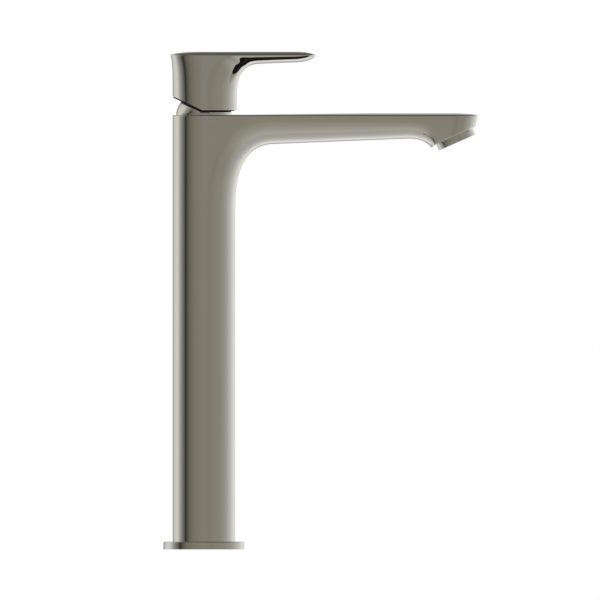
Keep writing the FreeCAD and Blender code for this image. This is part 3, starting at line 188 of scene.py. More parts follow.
class Skin:
    """A closed mesh put together from patches that share their edge points."""

    def __init__(self, shape=None):
        self.points, self.index, self.faces, self.shape = [], {}, [], shape

    def point(self, place):
        place = self.shape(place) if self.shape else place
        key = tuple(round(c, 3) for c in place)
        if key not in self.index:
            self.index[key] = len(self.points)
            self.points.append(tuple(c * MM for c in place))
        return self.index[key]

    def face(self, places):
        ids = []
        for place in places:
            i = self.point(place)
            if i not in ids:
                ids.append(i)
        if len(ids) > 2:
            self.faces.append(ids)

    def patch(self, rows):
        for a, b in zip(rows, rows[1:]):
            for i in range(len(a) - 1):
                self.face([a[i], a[i + 1], b[i + 1], b[i]])

    def piece(self, name):
        made = mesh_object(name, self.points, self.faces)
        tidy = bmesh.new()
        tidy.from_mesh(made.data)
        bmesh.ops.recalc_face_normals(tidy, faces=tidy.faces)
        tidy.to_mesh(made.data)
        tidy.free()
        return made


def shares(count, first=0):
    """Even shares of a whole, from first / count to 1."""
    return [i / count for i in range(first, count + 1)]


def line(a, b, s):
    return tuple(p + s * (q - p) for p, q in zip(a, b))


def bend(a, b, c, s):
    """A place on the curve that leaves a towards b and reaches c from b."""
    return line(line(a, b, s), line(b, c, s), s)


def smooth_step(value):
    value = min(1.0, max(0.0, value))
    return value * value * (3 - 2 * value)


def ring(radius, z, turns):
    return [(radius * math.cos(a), radius * math.sin(a), z) for a in turns]


def mirrored(outline):
    """The outline's rows of (point, outward normal, axis point) on the -y side, in walking order."""
    return [((x, -y), (nx, -ny), axis) for (x, y), (nx, ny), axis in outline[::-1]]


def half_ellipse(angle):
    return max(0.0, math.cos(angle))


def section(power, root):
    """A section between an ellipse (2, 2) and a flatter bow with bevelled sides."""
    return lambda angle: (1 - abs(math.sin(angle)) ** power) ** (1 / root)


FAN_COLUMNS = 64
HALF_TURN_STEPS = 48
REAR_TURNS = [math.pi * (0.5 + s) for s in shares(HALF_TURN_STEPS)]


def fan_row(spine, keel, half_width, share):
    """One section of a fan: from one side over the keel to the other."""
    row = []
    for i in range(FAN_COLUMNS + 1):
        angle = math.pi * (i / FAN_COLUMNS - 0.5)
        x, z = line(spine, keel, share(angle))
        row.append((x, half_width * math.sin(angle), z))
    return row


WALL_HOLD = 0.1


def wall_row(low, high):
    """Up a wall, with a row near each end that keeps the shading of the roundings off the wall."""
    return [low, line(low, high, WALL_HOLD), line(low, high, 1 - WALL_HOLD), high]


RIM_STEPS = 5


def rim_and_crown(skin, outline, start_z, radius, end_angle, crown, rings):
    """Rounds the rim and closes the crowned top. Outline rows are (point, outward normal, axis point)."""
    rows = []
    inset = radius * (1 - math.cos(end_angle))
    for angle in [end_angle * s for s in shares(RIM_STEPS)]:
        row = []
        for (x, y), (nx, ny), _ in outline:
            end_z = crown(x - nx * inset, y - ny * inset)
            off = radius * (1 - math.cos(angle))
            z = start_z + (end_z - start_z) * math.sin(angle) / math.sin(end_angle)
            row.append((x - nx * off, y - ny * off, z))
        rows.append(row)
    edge = rows[-1]
    for k in rings:
        row = []
        for (x, y, _), (_, _, (ax, ay)) in zip(edge, outline):
            px, py = ax + (x - ax) * k, ay + (y - ay) * k
            row.append((px, py, crown(px, py)))
        rows.append(row)
    skin.patch([row + row[:1] for row in rows])


# ---------------------------------------------------------------- spout
RIM_Z = 290.9                     # top edge of the column and of the spout's sides
COLUMN_RADIUS = 21.0
COLUMN_STEPS = 30
FLANGE_THICKNESS = 5.2
SPIGOT_RADIUS = 19.4              # turned-down end of the column inside the flange
SPIGOT_Z = 1.0
NOSE_REACH = 183.6                # column's axis to the tip of the spout
NOSE_RADIUS = 16.3
NOSE_X = NOSE_REACH - NOSE_RADIUS
NOSE_LEAN = math.tan(math.radians(13))
NOSE_EDGE_ROUND = 0.8             # lower edge of the nose, which fades out at the heel
NOSE_EDGE_FADE = 5                # over this many columns of the mesh
NOSE_EDGE_STEPS = 4
NOSE_SIDE_STEPS = 5
TAPER = (COLUMN_RADIUS - NOSE_RADIUS) / NOSE_X
SPINE_Z = RIM_Z - 4.9             # flat part of the spout's side ends here
CORNER_LOW_Z = RIM_Z - 62.9       # the inner corner starts here on the column
CORNER_X = 46.0                   # and ends here under the spout
CORNER_Z = RIM_Z - 19.3
CORNER_RUN = 25.0
DIP_X = 136.0                     # the underside starts to dip to the outlet here
DIP_Z = RIM_Z - 15.65
DIP_HOLD = 11.0                   # and runs on this far before it bends down
LIP_BACK = 2.6                    # lip behind the outlet, back and down from the heel
LIP_DROP = 2.25
OUTLET_X = 167.9
OUTLET_Z = 277.0
OUTLET_TILT = 24                  # degrees from straight down, towards the front
OUTLET_SLOPE = math.tan(math.radians(OUTLET_TILT))
HEEL_BACK = 12.7                  # outlet's centre back to the heel of the slanted face
HEEL_X = OUTLET_X - HEEL_BACK
HEEL_Z = OUTLET_Z - HEEL_BACK * OUTLET_SLOPE
CROWN_RISE = 0.15                 # crown's edge above the rim
CROWN_HEIGHT = 1.12
CROWN_START = 0.12                # share of the crown's height over the column
CROWN_FULL_X = 125.0              # the crown has its full height from here
RIM_ROUND = 0.75
RIM_ROUND_END = math.radians(84)
RIM_LOW_Z = RIM_Z - 0.6           # the rounding of the rim starts here
RIM_HOLD = 0.35                   # and one more row of the mesh lies this far below it
SIDE_LEAN = 0.0436                # the arm's sides lean in by this share of the drop
LEAN_START_DROP = 0.35
LEAN_EASE = 2.0                   # over about this drop the lean sets in
LEAN_FADE_DROP = 20.0             # below the arm it fades out again
LEAN_FADE_RUN = 40.0
SPOUT_RINGS = [0.985, 0.96, 0.92, 0.86, 0.78, 0.68, 0.56, 0.42, 0.28, 0.14, 0.0]
CORNER_STEPS, ARM_STEPS, DIP_STEPS = 60, 36, 24


def spout_half(x):
    return COLUMN_RADIUS - TAPER * x


def spout_crown(x, y):
    if x < 0:
        offset = math.hypot(x, y) / COLUMN_RADIUS
    elif x < NOSE_X:
        offset = abs(y) / spout_half(x)
    else:
        offset = math.hypot(x - NOSE_X, y) / NOSE_RADIUS
    share = CROWN_START + (1 - CROWN_START) * smooth_step(x / CROWN_FULL_X)
    return RIM_Z + CROWN_RISE + CROWN_HEIGHT * share * (1 - min(1.0, offset) ** 2)


def spout_path():
    """Spine, keel and rim place for each section, from where the corner starts to the outlet's lip."""
    corner, dip, lip = (CORNER_X, CORNER_Z), (DIP_X, DIP_Z), (HEEL_X - LIP_BACK, HEEL_Z - LIP_DROP)
    rise = (DIP_Z - CORNER_Z) / (DIP_X - CORNER_X)
    rows = []
    for s in shares(CORNER_STEPS):
        spine = bend((0.0, CORNER_LOW_Z), (0.0, SPINE_Z), (CORNER_X, SPINE_Z), s)
        keel = bend((COLUMN_RADIUS, CORNER_LOW_Z), (COLUMN_RADIUS, CORNER_Z - CORNER_RUN * rise), corner, s)
        rows.append((spine, keel, CORNER_X * s))
    for s in shares(ARM_STEPS, first=1):
        x = CORNER_X + (DIP_X - CORNER_X) * s
        rows.append(((x, SPINE_Z), line(corner, dip, s), x))
    for s in shares(DIP_STEPS, first=1):
        spine = bend((DIP_X, SPINE_Z), (HEEL_X, SPINE_Z), (HEEL_X, HEEL_Z), s)
        keel = bend(dip, (DIP_X + DIP_HOLD, DIP_Z + DIP_HOLD * rise), lip, s)
        rows.append((spine, keel, spine[0]))
    return rows


def nose_columns():
    """Top point, bottom point and outward direction for each upright line round the nose, +y side first."""
    slope = math.hypot(1, TAPER)
    touch_angle = math.atan2(1 / slope, TAPER / slope)

    def on_nose(angle, z):
        centre = NOSE_X - (RIM_Z - z) * NOSE_LEAN
        radius = spout_half(centre) / slope
        return centre + radius * math.cos(angle), radius * math.sin(angle), z

    def foot(angle):
        rim_x = on_nose(angle, RIM_Z)[0]
        run = rim_x - on_nose(angle, RIM_Z - 1)[0]
        z = RIM_Z + (OUTLET_Z - RIM_Z + (rim_x - OUTLET_X) * OUTLET_SLOPE) / (1 - run * OUTLET_SLOPE)
        return on_nose(angle, z)

    columns = []
    top, low = on_nose(touch_angle, RIM_LOW_Z), foot(touch_angle)
    normal = (TAPER / slope, 1 / slope)
    for s in shares(NOSE_SIDE_STEPS, first=1)[:-1]:
        x, low_x = HEEL_X + s * (top[0] - HEEL_X), HEEL_X + s * (low[0] - HEEL_X)
        columns.append(((x, spout_half(x), RIM_LOW_Z),
                        (low_x, spout_half(low_x), OUTLET_Z + (low_x - OUTLET_X) * OUTLET_SLOPE), normal))
    side = columns[::-1]
    for s in shares(HALF_TURN_STEPS):
        angle = touch_angle * (1 - 2 * s)
        columns.append((on_nose(angle, RIM_LOW_Z), foot(angle), (math.cos(angle), math.sin(angle))))
    return columns + [((a[0], -a[1], a[2]), (b[0], -b[1], b[2]), (n[0], -n[1])) for a, b, n in side]


def rounded_uprights(nose):
    """The nose's wall from heel to heel, with its lower edge rounded on the way."""
    ends = [((HEEL_X, side * spout_half(HEEL_X), RIM_LOW_Z), (HEEL_X, side * spout_half(HEEL_X), HEEL_Z))
            for side in (1, -1)]
    lines = [ends[0]] + [(high, low) for high, low, _ in nose] + [ends[1]]
    normals = [nose[0][2]] + [normal for _, _, normal in nose] + [nose[-1][2]]
    uprights = []
    for i, ((high, low), (nx, ny)) in enumerate(zip(lines, normals)):
        size = NOSE_EDGE_ROUND * smooth_step(min(i, len(lines) - 1 - i) / NOSE_EDGE_FADE)
        rounding = []
        for turn in [math.pi / 2 * s for s in shares(NOSE_EDGE_STEPS)]:
            inward, up = size * (1 - math.sin(turn)), size * (1 - math.cos(turn))
            x, y, z = line(low, high, up / (high[2] - low[2]))
            rounding.append((x - nx * inward, y - ny * inward, z - nx * inward * OUTLET_SLOPE))
        uprights.append(rounding + wall_row(low, high)[1:])
    return uprights


def drafted(place):
    """The arm's sides lean in a little below the rim; the column stays round."""
    x, y, z = place
    drop = max(0.0, RIM_Z - LEAN_START_DROP - z)
    in_arm = smooth_step(x / CORNER_X) * (1 - smooth_step((drop - LEAN_FADE_DROP) / LEAN_FADE_RUN))
    lean = SIDE_LEAN * (drop - LEAN_EASE * (1 - math.exp(-drop / LEAN_EASE))) * in_arm
    return x, y * (1 - lean / COLUMN_RADIUS), z


def spout_form():
    """Column, arm and nose in one skin."""
    skin = Skin(drafted)
    path = spout_path()
    column = [FLANGE_THICKNESS + s * (CORNER_LOW_Z - FLANGE_THICKNESS) for s in shares(COLUMN_STEPS)]
    rows = [fan_row((0.0, z), (COLUMN_RADIUS, z), COLUMN_RADIUS, half_ellipse) for z in column]
    rows += [fan_row(spine, keel, spout_half(spine[0]), half_ellipse) for spine, keel, _ in path[1:]]
    skin.patch(rows)
    skin.face(rows[-1])
    skin.patch([ring(COLUMN_RADIUS, z, REAR_TURNS) for z in column + [RIM_LOW_Z - RIM_HOLD, RIM_LOW_Z]])
    for side in (1, -1):
        walls = []
        for (x, z), _, rim_x in path:
            walls.append(wall_row((x, side * spout_half(x), z), (rim_x, side * spout_half(rim_x), RIM_LOW_Z)))
        # beside the column's axis the wall shares the rear's points
        walls[0][1:3] = walls[0][0], (0.0, side * COLUMN_RADIUS, RIM_LOW_Z - RIM_HOLD)
        skin.patch(walls)
    nose = nose_columns()
    uprights = rounded_uprights(nose)
    skin.patch(uprights)
    skin.face([upright[0] for upright in uprights])

    slope = math.hypot(1, TAPER)
    rear = [((COLUMN_RADIUS * math.cos(a), COLUMN_RADIUS * math.sin(a)), (math.cos(a), math.sin(a)),
             (0.0, 0.0)) for a in REAR_TURNS[::-1]]
    flank = [((x, spout_half(x)), (TAPER / slope, 1 / slope), (x, 0.0)) for _, _, x in path[1:]]
    front = [(high[:2], normal, (min(high[0], NOSE_X), 0.0)) for high, _, normal in nose]
    rim_and_crown(skin, rear + flank + front + mirrored(flank), RIM_LOW_Z, RIM_ROUND, RIM_ROUND_END,
                  spout_crown, SPOUT_RINGS)

    around = [math.pi * (s - 0.5) for s in shares(FAN_COLUMNS)] + REAR_TURNS[1:]
    rings = [ring(r, z, around) for r, z in ((COLUMN_RADIUS, FLANGE_THICKNESS),
                                            (SPIGOT_RADIUS, FLANGE_THICKNESS), (SPIGOT_RADIUS, SPIGOT_Z))]
    skin.patch(rings)
    skin.face(rings[-1])
    return skin.piece("spout_casting")


# ---------------------------------------------------------------- lever
LEVER_LOW = 294.3                 # bottom edge, a hair inside the CAD's
LEVER_RIM = 331.3
LEVER_HEIGHT = 37.1               # in the CAD, from its own bottom edge to the rim
LEVER_SIDE = 21.2                 # half width at the bottom, over the axis
LEVER_DRAFT = 0.065               # the sides lean in by this much for each millimetre of height
LEVER_TOP_HALF = LEVER_SIDE - LEVER_DRAFT * LEVER_HEIGHT
LEVER_FRONT = 22.12
LEVER_REAR = 21.03
REAR_FLARE = 1.37
REAR_FLARE_HEIGHT = 19.3
TIP_X = 58.5                      # centre of the grip's round end
TIP_RADIUS = 16.3
LEVER_TAPER = (LEVER_TOP_HALF - TIP_RADIUS) / TIP_X
LEVER_CROWN = 2.13
LEVER_CROWN_POWER = 3.5
LEVER_CORNER_DROP = 26.3          # rim down to where the inner corner starts on the front
LEVER_CORNER_RUN = 14.9
GRIP_DEPTH_NEAR = 5.9             # rim to underside at the inner corner
GRIP_DEPTH_FAR = 5.04             # rim to underside at the tip's centre
GRIP_EDGE_DROP = 0.32             # rim to the edge where the grip's side turns under
SPINE_RUN = 1.6                   # powers that steer how the lever's side meets its front on the way up
SPINE_CLIMB = 4.0
GRIP_POWER = 2.4                  # section under the grip
GRIP_ROOT = 1.5
CORNER_ROOT = 1.2                 # and in the inner corner
CORNER_SECTION = (14.0, 7.0)      # the section turns into the corner's from here over this run
GRIP_SECTION = (22.0, 10.0)       # and into the grip's
SKIRT_SPARE = 2.0                 # skirt below its edge, which is cut off
LEVER_RIM_ROUND = 0.4
LEVER_ROUND_END = math.radians(65)
LEVER_TOP_Z = LEVER_RIM - 0.26    # the rounding of the lever's rim starts here
SKIRT_STEPS, LEVER_SIDE_STEPS = 8, 16
LEVER_CORNER_STEPS, GRIP_STEPS = 48, 16
LEVER_RINGS = [0.985, 0.965, 0.94, 0.91, 0.87, 0.82, 0.75, 0.66, 0.55, 0.42, 0.28, 0.14, 0.0]


def lever_half(x, z):
    return LEVER_SIDE - LEVER_TAPER * x - LEVER_DRAFT * (z - LEVER_LOW)


def lever_rear_x(z):
    flare = max(0.0, (z - LEVER_RIM + REAR_FLARE_HEIGHT) / REAR_FLARE_HEIGHT)
    return LEVER_REAR + REAR_FLARE * flare ** 3


def lever_crown(x, y):
    if x < 0:
        offset = math.hypot(x / (LEVER_REAR + REAR_FLARE), y / LEVER_TOP_HALF)
    elif x < TIP_X:
        offset = abs(y) / lever_half(x, LEVER_RIM)
    else:
        offset = math.hypot(x - TIP_X, y) / TIP_RADIUS
    return LEVER_RIM + LEVER_CROWN * (1 - min(1.0, offset) ** LEVER_CROWN_POWER)


def corner_section(x):
    """From a half-ellipse on the front through the inner corner to the grip's flatter bow."""
    corner = smooth_step((x - CORNER_SECTION[0]) / CORNER_SECTION[1])
    grip = smooth_step((x - GRIP_SECTION[0]) / GRIP_SECTION[1])
    return section(2 + (GRIP_POWER - 2) * corner,
                   2 - (2 - CORNER_ROOT) * corner + (GRIP_ROOT - CORNER_ROOT) * grip)


def lever_path():
    """Spine, keel and section on the way up the front, round the inner corner and out under the grip."""
    spine_z, start_z = LEVER_RIM - GRIP_EDGE_DROP, LEVER_RIM - LEVER_CORNER_DROP
    corner = (LEVER_FRONT + LEVER_CORNER_RUN, LEVER_RIM - GRIP_DEPTH_NEAR)
    far = (TIP_X, LEVER_RIM - GRIP_DEPTH_FAR)
    rise = (far[1] - corner[1]) / (far[0] - corner[0])
    rows = []
    for s in shares(LEVER_CORNER_STEPS):
        spine = (corner[0] * s ** SPINE_RUN, start_z + (spine_z - start_z) * (1 - (1 - s) ** SPINE_CLIMB))
        keel = bend((LEVER_FRONT, start_z), (LEVER_FRONT, corner[1] - LEVER_CORNER_RUN * rise), corner, s)
        rows.append((spine, keel, corner_section(spine[0])))
    for s in shares(GRIP_STEPS, first=1):
        x = corner[0] + s * (far[0] - corner[0])
        rows.append(((x, spine_z), line(corner, far, s), section(GRIP_POWER, GRIP_ROOT)))
    return rows


def lever_outline(path, tip, tip_turns):
    """The rim from above: rear, +y flank, tip and -y flank."""
    rear_x, rear_y = LEVER_REAR + REAR_FLARE, LEVER_TOP_HALF
    rear = []
    for a in REAR_TURNS[::-1]:
        x, y = lever_rear_x(LEVER_TOP_Z) * math.cos(a), lever_half(0, LEVER_TOP_Z) * math.sin(a)
        nx, ny = x / rear_x ** 2, y / rear_y ** 2
        rear.append(((x, y), (nx / math.hypot(nx, ny), ny / math.hypot(nx, ny)), (0.0, 0.0)))
    slope = math.hypot(1, LEVER_TAPER)
    flank = [((x, lever_half(x, LEVER_TOP_Z)), (LEVER_TAPER / slope, 1 / slope), (x, 0.0))
             for (x, _), _, _ in path[1:-1]]
    end = [((TIP_X + tip * math.cos(a), tip * math.sin(a)), (math.cos(a), math.sin(a)), (TIP_X, 0.0))
           for a in tip_turns]
    return rear + flank + end + mirrored(flank)


def lever_form():
    """Skirt, front and grip in one skin; its bottom is cut to shape later."""
    skin = Skin()
    path = lever_path()
    low_z, start_z = LEVER_LOW - SKIRT_SPARE, path[0][0][1]
    lower = [low_z + s * (start_z - low_z) for s in shares(SKIRT_STEPS)]
    upper = [start_z + s * (LEVER_TOP_Z - start_z) for s in shares(LEVER_SIDE_STEPS, first=1)]
    rows = [fan_row((0.0, z), (LEVER_FRONT, z), lever_half(0, z), half_ellipse) for z in lower]
    rows += [fan_row(spine, keel, lever_half(*spine), share) for spine, keel, share in path[1:]]
    skin.patch(rows)
    rear = [[(lever_rear_x(z) * math.cos(a), lever_half(0, z) * math.sin(a), z) for a in REAR_TURNS]
            for z in lower + upper]
    skin.patch(rear)
    skin.face([*rows[0][::-1], *rear[0]])
    for side in (1, -1):
        walls = []
        for (x, z), _, _ in path:
            low = (x, side * lever_half(x, z), z)
            high = (x, side * lever_half(x, LEVER_TOP_Z), LEVER_TOP_Z)
            walls.append([line(low, high, s) for s in shares(LEVER_SIDE_STEPS)])
        skin.patch(walls)
    tip = lever_half(TIP_X, LEVER_TOP_Z)
    profile = [(y, z) for _, y, z in rows[-1][FAN_COLUMNS // 2:]]
    profile += [line(profile[-1], (tip, LEVER_TOP_Z), s) for s in shares(LEVER_SIDE_STEPS, first=1)]
    tip_turns = [math.pi * (0.5 - s) for s in shares(HALF_TURN_STEPS)]
    skin.patch([[(TIP_X + r * math.cos(a), r * math.sin(a), z) for r, z in profile] for a in tip_turns])
    rim_and_crown(skin, lever_outline(path, tip, tip_turns), LEVER_TOP_Z, LEVER_RIM_ROUND, LEVER_ROUND_END,
                  lever_crown, LEVER_RINGS)
    return skin.piece("lever_casting")


# ---------------------------------------------------------------- turned pieces, bores and hollows
SEGMENTS = 96                     # round a turned tool, fewer for small bores and more for the collar
SMALL_SEGMENTS = 32
PLUG_SEGMENTS = 48
COLLAR_SEGMENTS = 128


def turned(name, profile, placement=None, segments=SEGMENTS):
    """A closed mesh made by turning (radius, height) points, in its own placement."""
    skin = Skin()
    skin.patch([ring(r, z, [2 * math.pi * s for s in shares(segments)]) for r, z in profile])
    made = skin.piece(name)
    if placement:
        made.data.transform(placement)
    return made


def bore(radius, low, high, placement=None, segments=SEGMENTS):
    return turned("tool", [(0, low), (radius, low), (radius, high), (0, high)], placement, segments)


def block(outline, half_width):
    """A closed tool with (x, z) corners, across Y."""
    tool = Skin()
    sides = [[(x, side * half_width, z) for x, z in outline] for side in (1, -1)]
    tool.patch([side + side[:1] for side in sides])
    tool.face(sides[0])
    tool.face(sides[1])
    return tool.piece("tool")


def combine(piece, tool, operation):
    """Makes the boolean part of the piece's mesh and deletes the tool."""
    boolean = piece.modifiers.new("boolean", "BOOLEAN")
    boolean.operation = operation
    boolean.solver = "EXACT"
    boolean.object = tool
    bpy.context.view_layer.update()
    ready = piece.evaluated_get(bpy.context.evaluated_depsgraph_get())
    mesh = bpy.data.meshes.new_from_object(ready)
    piece.modifiers.clear()
    piece.data = mesh
    bpy.data.objects.remove(tool)


def outlet_frame():
    place = Matrix.Translation((OUTLET_X * MM, 0, OUTLET_Z * MM))
    return place @ Matrix.Rotation(math.radians(-OUTLET_TILT), 4, "Y")


COLLAR_RADIUS = 13.4
COLLAR_LENGTH = 4.8
COLLAR_ROUND = 0.5
COLLAR_ROUND_STEPS = 6
NECK_START = -1.2                 # the neck up to the outlet's face is a touch slimmer than the collar
NECK_RADIUS = 13.36
AERATOR_THREAD_RADIUS = 11.15
AERATOR_THREAD_LENGTH = 6.2
AERATOR_SEAT_RADIUS = 9.6
AERATOR_SEAT_Z = -3.2
AERATOR_MOUTH_RADIUS = 8.9


def collar_form():
    """The housing with a rounded lip; heights are from the slanted outlet upwards."""
    lip = []
    for turn in [math.radians(-90 + 90 * s) for s in shares(COLLAR_ROUND_STEPS)]:
        lip.append((COLLAR_RADIUS - COLLAR_ROUND + COLLAR_ROUND * math.cos(turn),
                    -COLLAR_LENGTH + COLLAR_ROUND + COLLAR_ROUND * math.sin(turn)))
    mouth = (AERATOR_MOUTH_RADIUS, -COLLAR_LENGTH)
    profile = [mouth, *lip, (COLLAR_RADIUS, NECK_START), (NECK_RADIUS, 0.0), (AERATOR_THREAD_RADIUS, 0.0),
               (AERATOR_THREAD_RADIUS, AERATOR_THREAD_LENGTH), (AERATOR_SEAT_RADIUS, AERATOR_THREAD_LENGTH),
               (AERATOR_SEAT_RADIUS, AERATOR_SEAT_Z), (AERATOR_MOUTH_RADIUS, AERATOR_SEAT_Z), mouth]
    return turned("aerator_collar", profile, outlet_frame(), COLLAR_SEGMENTS)


COLUMN_BORE = (18.0, -1.0, 240.0)         # radius, and from where to where
TUBE_BORE = (4.05, 230.0, 247.0)
TUBE_Y = 9.5
OUTLET_BORE = (11.2, -3.0, 9.0)
SEAT_RADIUS, SEAT_Z = 14.05, 262.0        # the cartridge's seat, the nut's thread and the dome's seat
NUT_RADIUS, NUT_Z = 15.25, 272.4
DOME_SEAT_RADIUS, DOME_SEAT_Z = 18.75, 284.8
ABOVE_COLUMN = 300.0


def spout_tools():
    yield bore(*COLUMN_BORE)
    yield turned("tool", [(0, SEAT_Z), (SEAT_RADIUS, SEAT_Z), (SEAT_RADIUS, NUT_Z), (NUT_RADIUS, NUT_Z),
                          (NUT_RADIUS, DOME_SEAT_Z), (DOME_SEAT_RADIUS, DOME_SEAT_Z),
                          (DOME_SEAT_RADIUS, ABOVE_COLUMN), (0, ABOVE_COLUMN)])
    yield bore(*OUTLET_BORE, outlet_frame())
    for y in (-TUBE_Y, TUBE_Y):
        yield bore(*TUBE_BORE, Matrix.Translation((0, y * MM, 0)), SMALL_SEGMENTS)


PIVOT_Z = 288.9                   # centre of the dome and of the lift
HEEL_CUT_X = -1.2                 # the lever's bottom slants up behind this
HEEL_CUT_SLOPE = math.tan(math.radians(25.5))
LINER_RADIUS = 20.55              # recess for the liner, and its height above the lever's bottom
LINER_HEIGHT = 1.5
DOME_HOLLOW_RADIUS = 19.5
BOSS_RADIUS = 8.5                 # solid boss round the stem, with a hollow ring about it
HOLLOW_RADIUS = 17.0
HOLLOW_TOP = 325.5
SOCKET_HALF = 3.55                # square socket for the stem
SOCKET_TOP = 320.55
SCREW_Z = 313.0
SCREW_BORE = (2.55, 0.0, 9.5)
PLUG_BORE = (3.25, 15.0, 37.4)
UNDER_LEVER, OVER_LEVER = 280.0, 340.0    # where tools may start and end clear of the lever
CUT_HALF, CUT_LOW = 90.0, 250.0           # the block that is cut off below it
CUT_WIDTH_HALF = 60.0


def below_lever(lift=0.0):
    """Everything below the lever's slanted bottom, moved up by lift."""
    back_z = LEVER_LOW + (CUT_HALF + HEEL_CUT_X) * HEEL_CUT_SLOPE
    corners = [(-CUT_HALF, CUT_LOW), (CUT_HALF, CUT_LOW), (CUT_HALF, LEVER_LOW), (HEEL_CUT_X, LEVER_LOW),
               (-CUT_HALF, back_z)]
    return block([(x, z + lift) for x, z in corners], CUT_WIDTH_HALF)


def lever_tools():
    yield below_lever()
    recess = bore(LINER_RADIUS, UNDER_LEVER, OVER_LEVER)
    combine(recess, below_lever(LINER_HEIGHT), "INTERSECT")
    yield recess
    yield turned("tool", [(DOME_HOLLOW_RADIUS * math.cos(a), PIVOT_Z + DOME_HOLLOW_RADIUS * math.sin(a))
                          for a in [math.pi * (s - 0.5) for s in shares(HALF_TURN_STEPS)]])
    yield turned("tool", [(BOSS_RADIUS, UNDER_LEVER), (HOLLOW_RADIUS, UNDER_LEVER),
                          (HOLLOW_RADIUS, HOLLOW_TOP), (BOSS_RADIUS, HOLLOW_TOP),
                          (BOSS_RADIUS, UNDER_LEVER)])
    yield block([(-SOCKET_HALF, UNDER_LEVER), (SOCKET_HALF, UNDER_LEVER), (SOCKET_HALF, SOCKET_TOP),
                 (-SOCKET_HALF, SOCKET_TOP)], SOCKET_HALF)
    towards_spout = Matrix.Translation((0, 0, SCREW_Z * MM)) @ Matrix.Rotation(math.radians(90), 4, "Y")
    yield bore(*SCREW_BORE, towards_spout, SMALL_SEGMENTS)
    yield bore(*PLUG_BORE, towards_spout, PLUG_SEGMENTS)


CREASE = math.radians(28)
WELD, NARROWEST = 2e-6, 1e-6      # metres


def finish_surface(piece):
    """Smooth shading with crisp edges."""
    tidy = bmesh.new()
    tidy.from_mesh(piece.data)
    bmesh.ops.remove_doubles(tidy, verts=tidy.verts, dist=WELD)
    bmesh.ops.dissolve_degenerate(tidy, edges=tidy.edges, dist=NARROWEST)
    for face in tidy.faces:
        face.smooth = True
    for edge in tidy.edges:
        edge.smooth = len(edge.link_faces) == 2 and edge.calc_face_angle(0.0) < CREASE
    tidy.to_mesh(piece.data)
    tidy.free()


def castings():
    """The outer skins of spout, collar and lever, finer than the CAD's mesh, with the same bores."""
    for form, tools, node, body in ((spout_form, spout_tools, "spout_body", "fixed"),
                                    (collar_form, list, "aerator_housing", "fixed"),
                                    (lever_form, lever_tools, "lever_handle", "lever")):
        piece = form()
        for tool in tools():
            combine(piece, tool, "DIFFERENCE")
        finish_surface(piece)
        piece.data.materials.clear()
        piece.data.materials.append(metal)
        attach(piece, body)
        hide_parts(node)


# ---------------------------------------------------------------- studio
EVEN_LIGHT = 0.62


def world():
    """White behind everything and in reflections; plain even light on matt surfaces."""
    sky = bpy.data.worlds.new("studio")
    bpy.context.scene.world = sky
    sky.use_nodes = True
    tree = sky.node_tree
    tree.nodes.clear()
    path = add(tree, "ShaderNodeLightPath")
    seen = math_node(tree, "MAXIMUM", path.outputs["Is Camera Ray"], path.outputs["Is Glossy Ray"])
    seen = math_node(tree, "MAXIMUM", seen, path.outputs["Is Transmission Ray"])
    even = add(tree, "ShaderNodeBackground", in_Color=(1, 1, 1, 1), in_Strength=EVEN_LIGHT)
    white = add(tree, "ShaderNodeBackground", in_Color=(1, 1, 1, 1), in_Strength=1.0)
    mix = add(tree, "ShaderNodeMixShader")
    output = add(tree, "ShaderNodeOutputWorld")
    tree.links.new(seen, mix.inputs[0])
    tree.links.new(even.outputs[0], mix.inputs[1])
    tree.links.new(white.outputs[0], mix.inputs[2])
    tree.links.new(mix.outputs[0], output.inputs["Surface"])


BALL_RADIUS = 40.0
BALL_CENTRE = (0.06, 0.0, 0.2)
WARM, COOL = (1.0, 0.97, 0.87), (0.97, 1.0, 1.045)
COOL_START, COOL_RUN = 50, 50      # degrees from the front

# What polished surfaces see in each direction. The levels were typed over several rounds, and
# they follow tones measured in the photo, mostly across the column and across the arm.
# Level with the eye, against the angle from the front in degrees; - is to the left.
WALLS = [(-180, 0.40), (-153, 0.45), (-145, 0.72), (-130, 0.88), (-115, 0.88), (-108, 0.76), (-97, 0.45),
         (-86, 0.27), (-77, 0.14), (-73, 0.05), (-70, 0.05), (-66, 0.10), (-59, 0.165), (-47, 0.23),
         (-31, 0.28), (-13, 0.305), (0, 0.32), (20, 0.30), (36, 0.33), (60, 0.35), (73, 0.40), (92, 0.50),
         (103, 0.62), (116, 0.73), (131, 0.93), (141, 1.0), (154, 0.92), (168, 0.86), (180, 0.62)]
WALLS_LEAN = 0.5                   # how much the dark line on the left leans, in radians
# Below the eye, from the front round to the back: angle, level and share of blue.
BELOW = [(0, 0.32, 0.88), (3, 0.345, 0.9), (7, 0.37, 0.92), (15, 0.375, 0.93), (30, 0.40, 0.96),
         (46, 0.443, 0.945), (61, 0.496, 0.955), (76, 0.546, 1.01), (91, 0.496, 1.03), (98, 0.524, 1.035),
         (105, 0.545, 1.08), (113, 0.61, 1.08), (121, 0.66, 1.08), (129, 0.80, 1.07), (137, 0.97, 1.06),
         (147, 1.0, 1.05), (155, 0.66, 1.03), (163, 0.42, 1.0), (172, 0.38, 1.0), (180, 0.35, 1.0)]
# A little above the eye, from the front round to the back.
UPWARD = [(0, 0.31), (90, 0.42), (150, 0.385), (180, 0.385)]
UPWARD_BLUE = 0.97
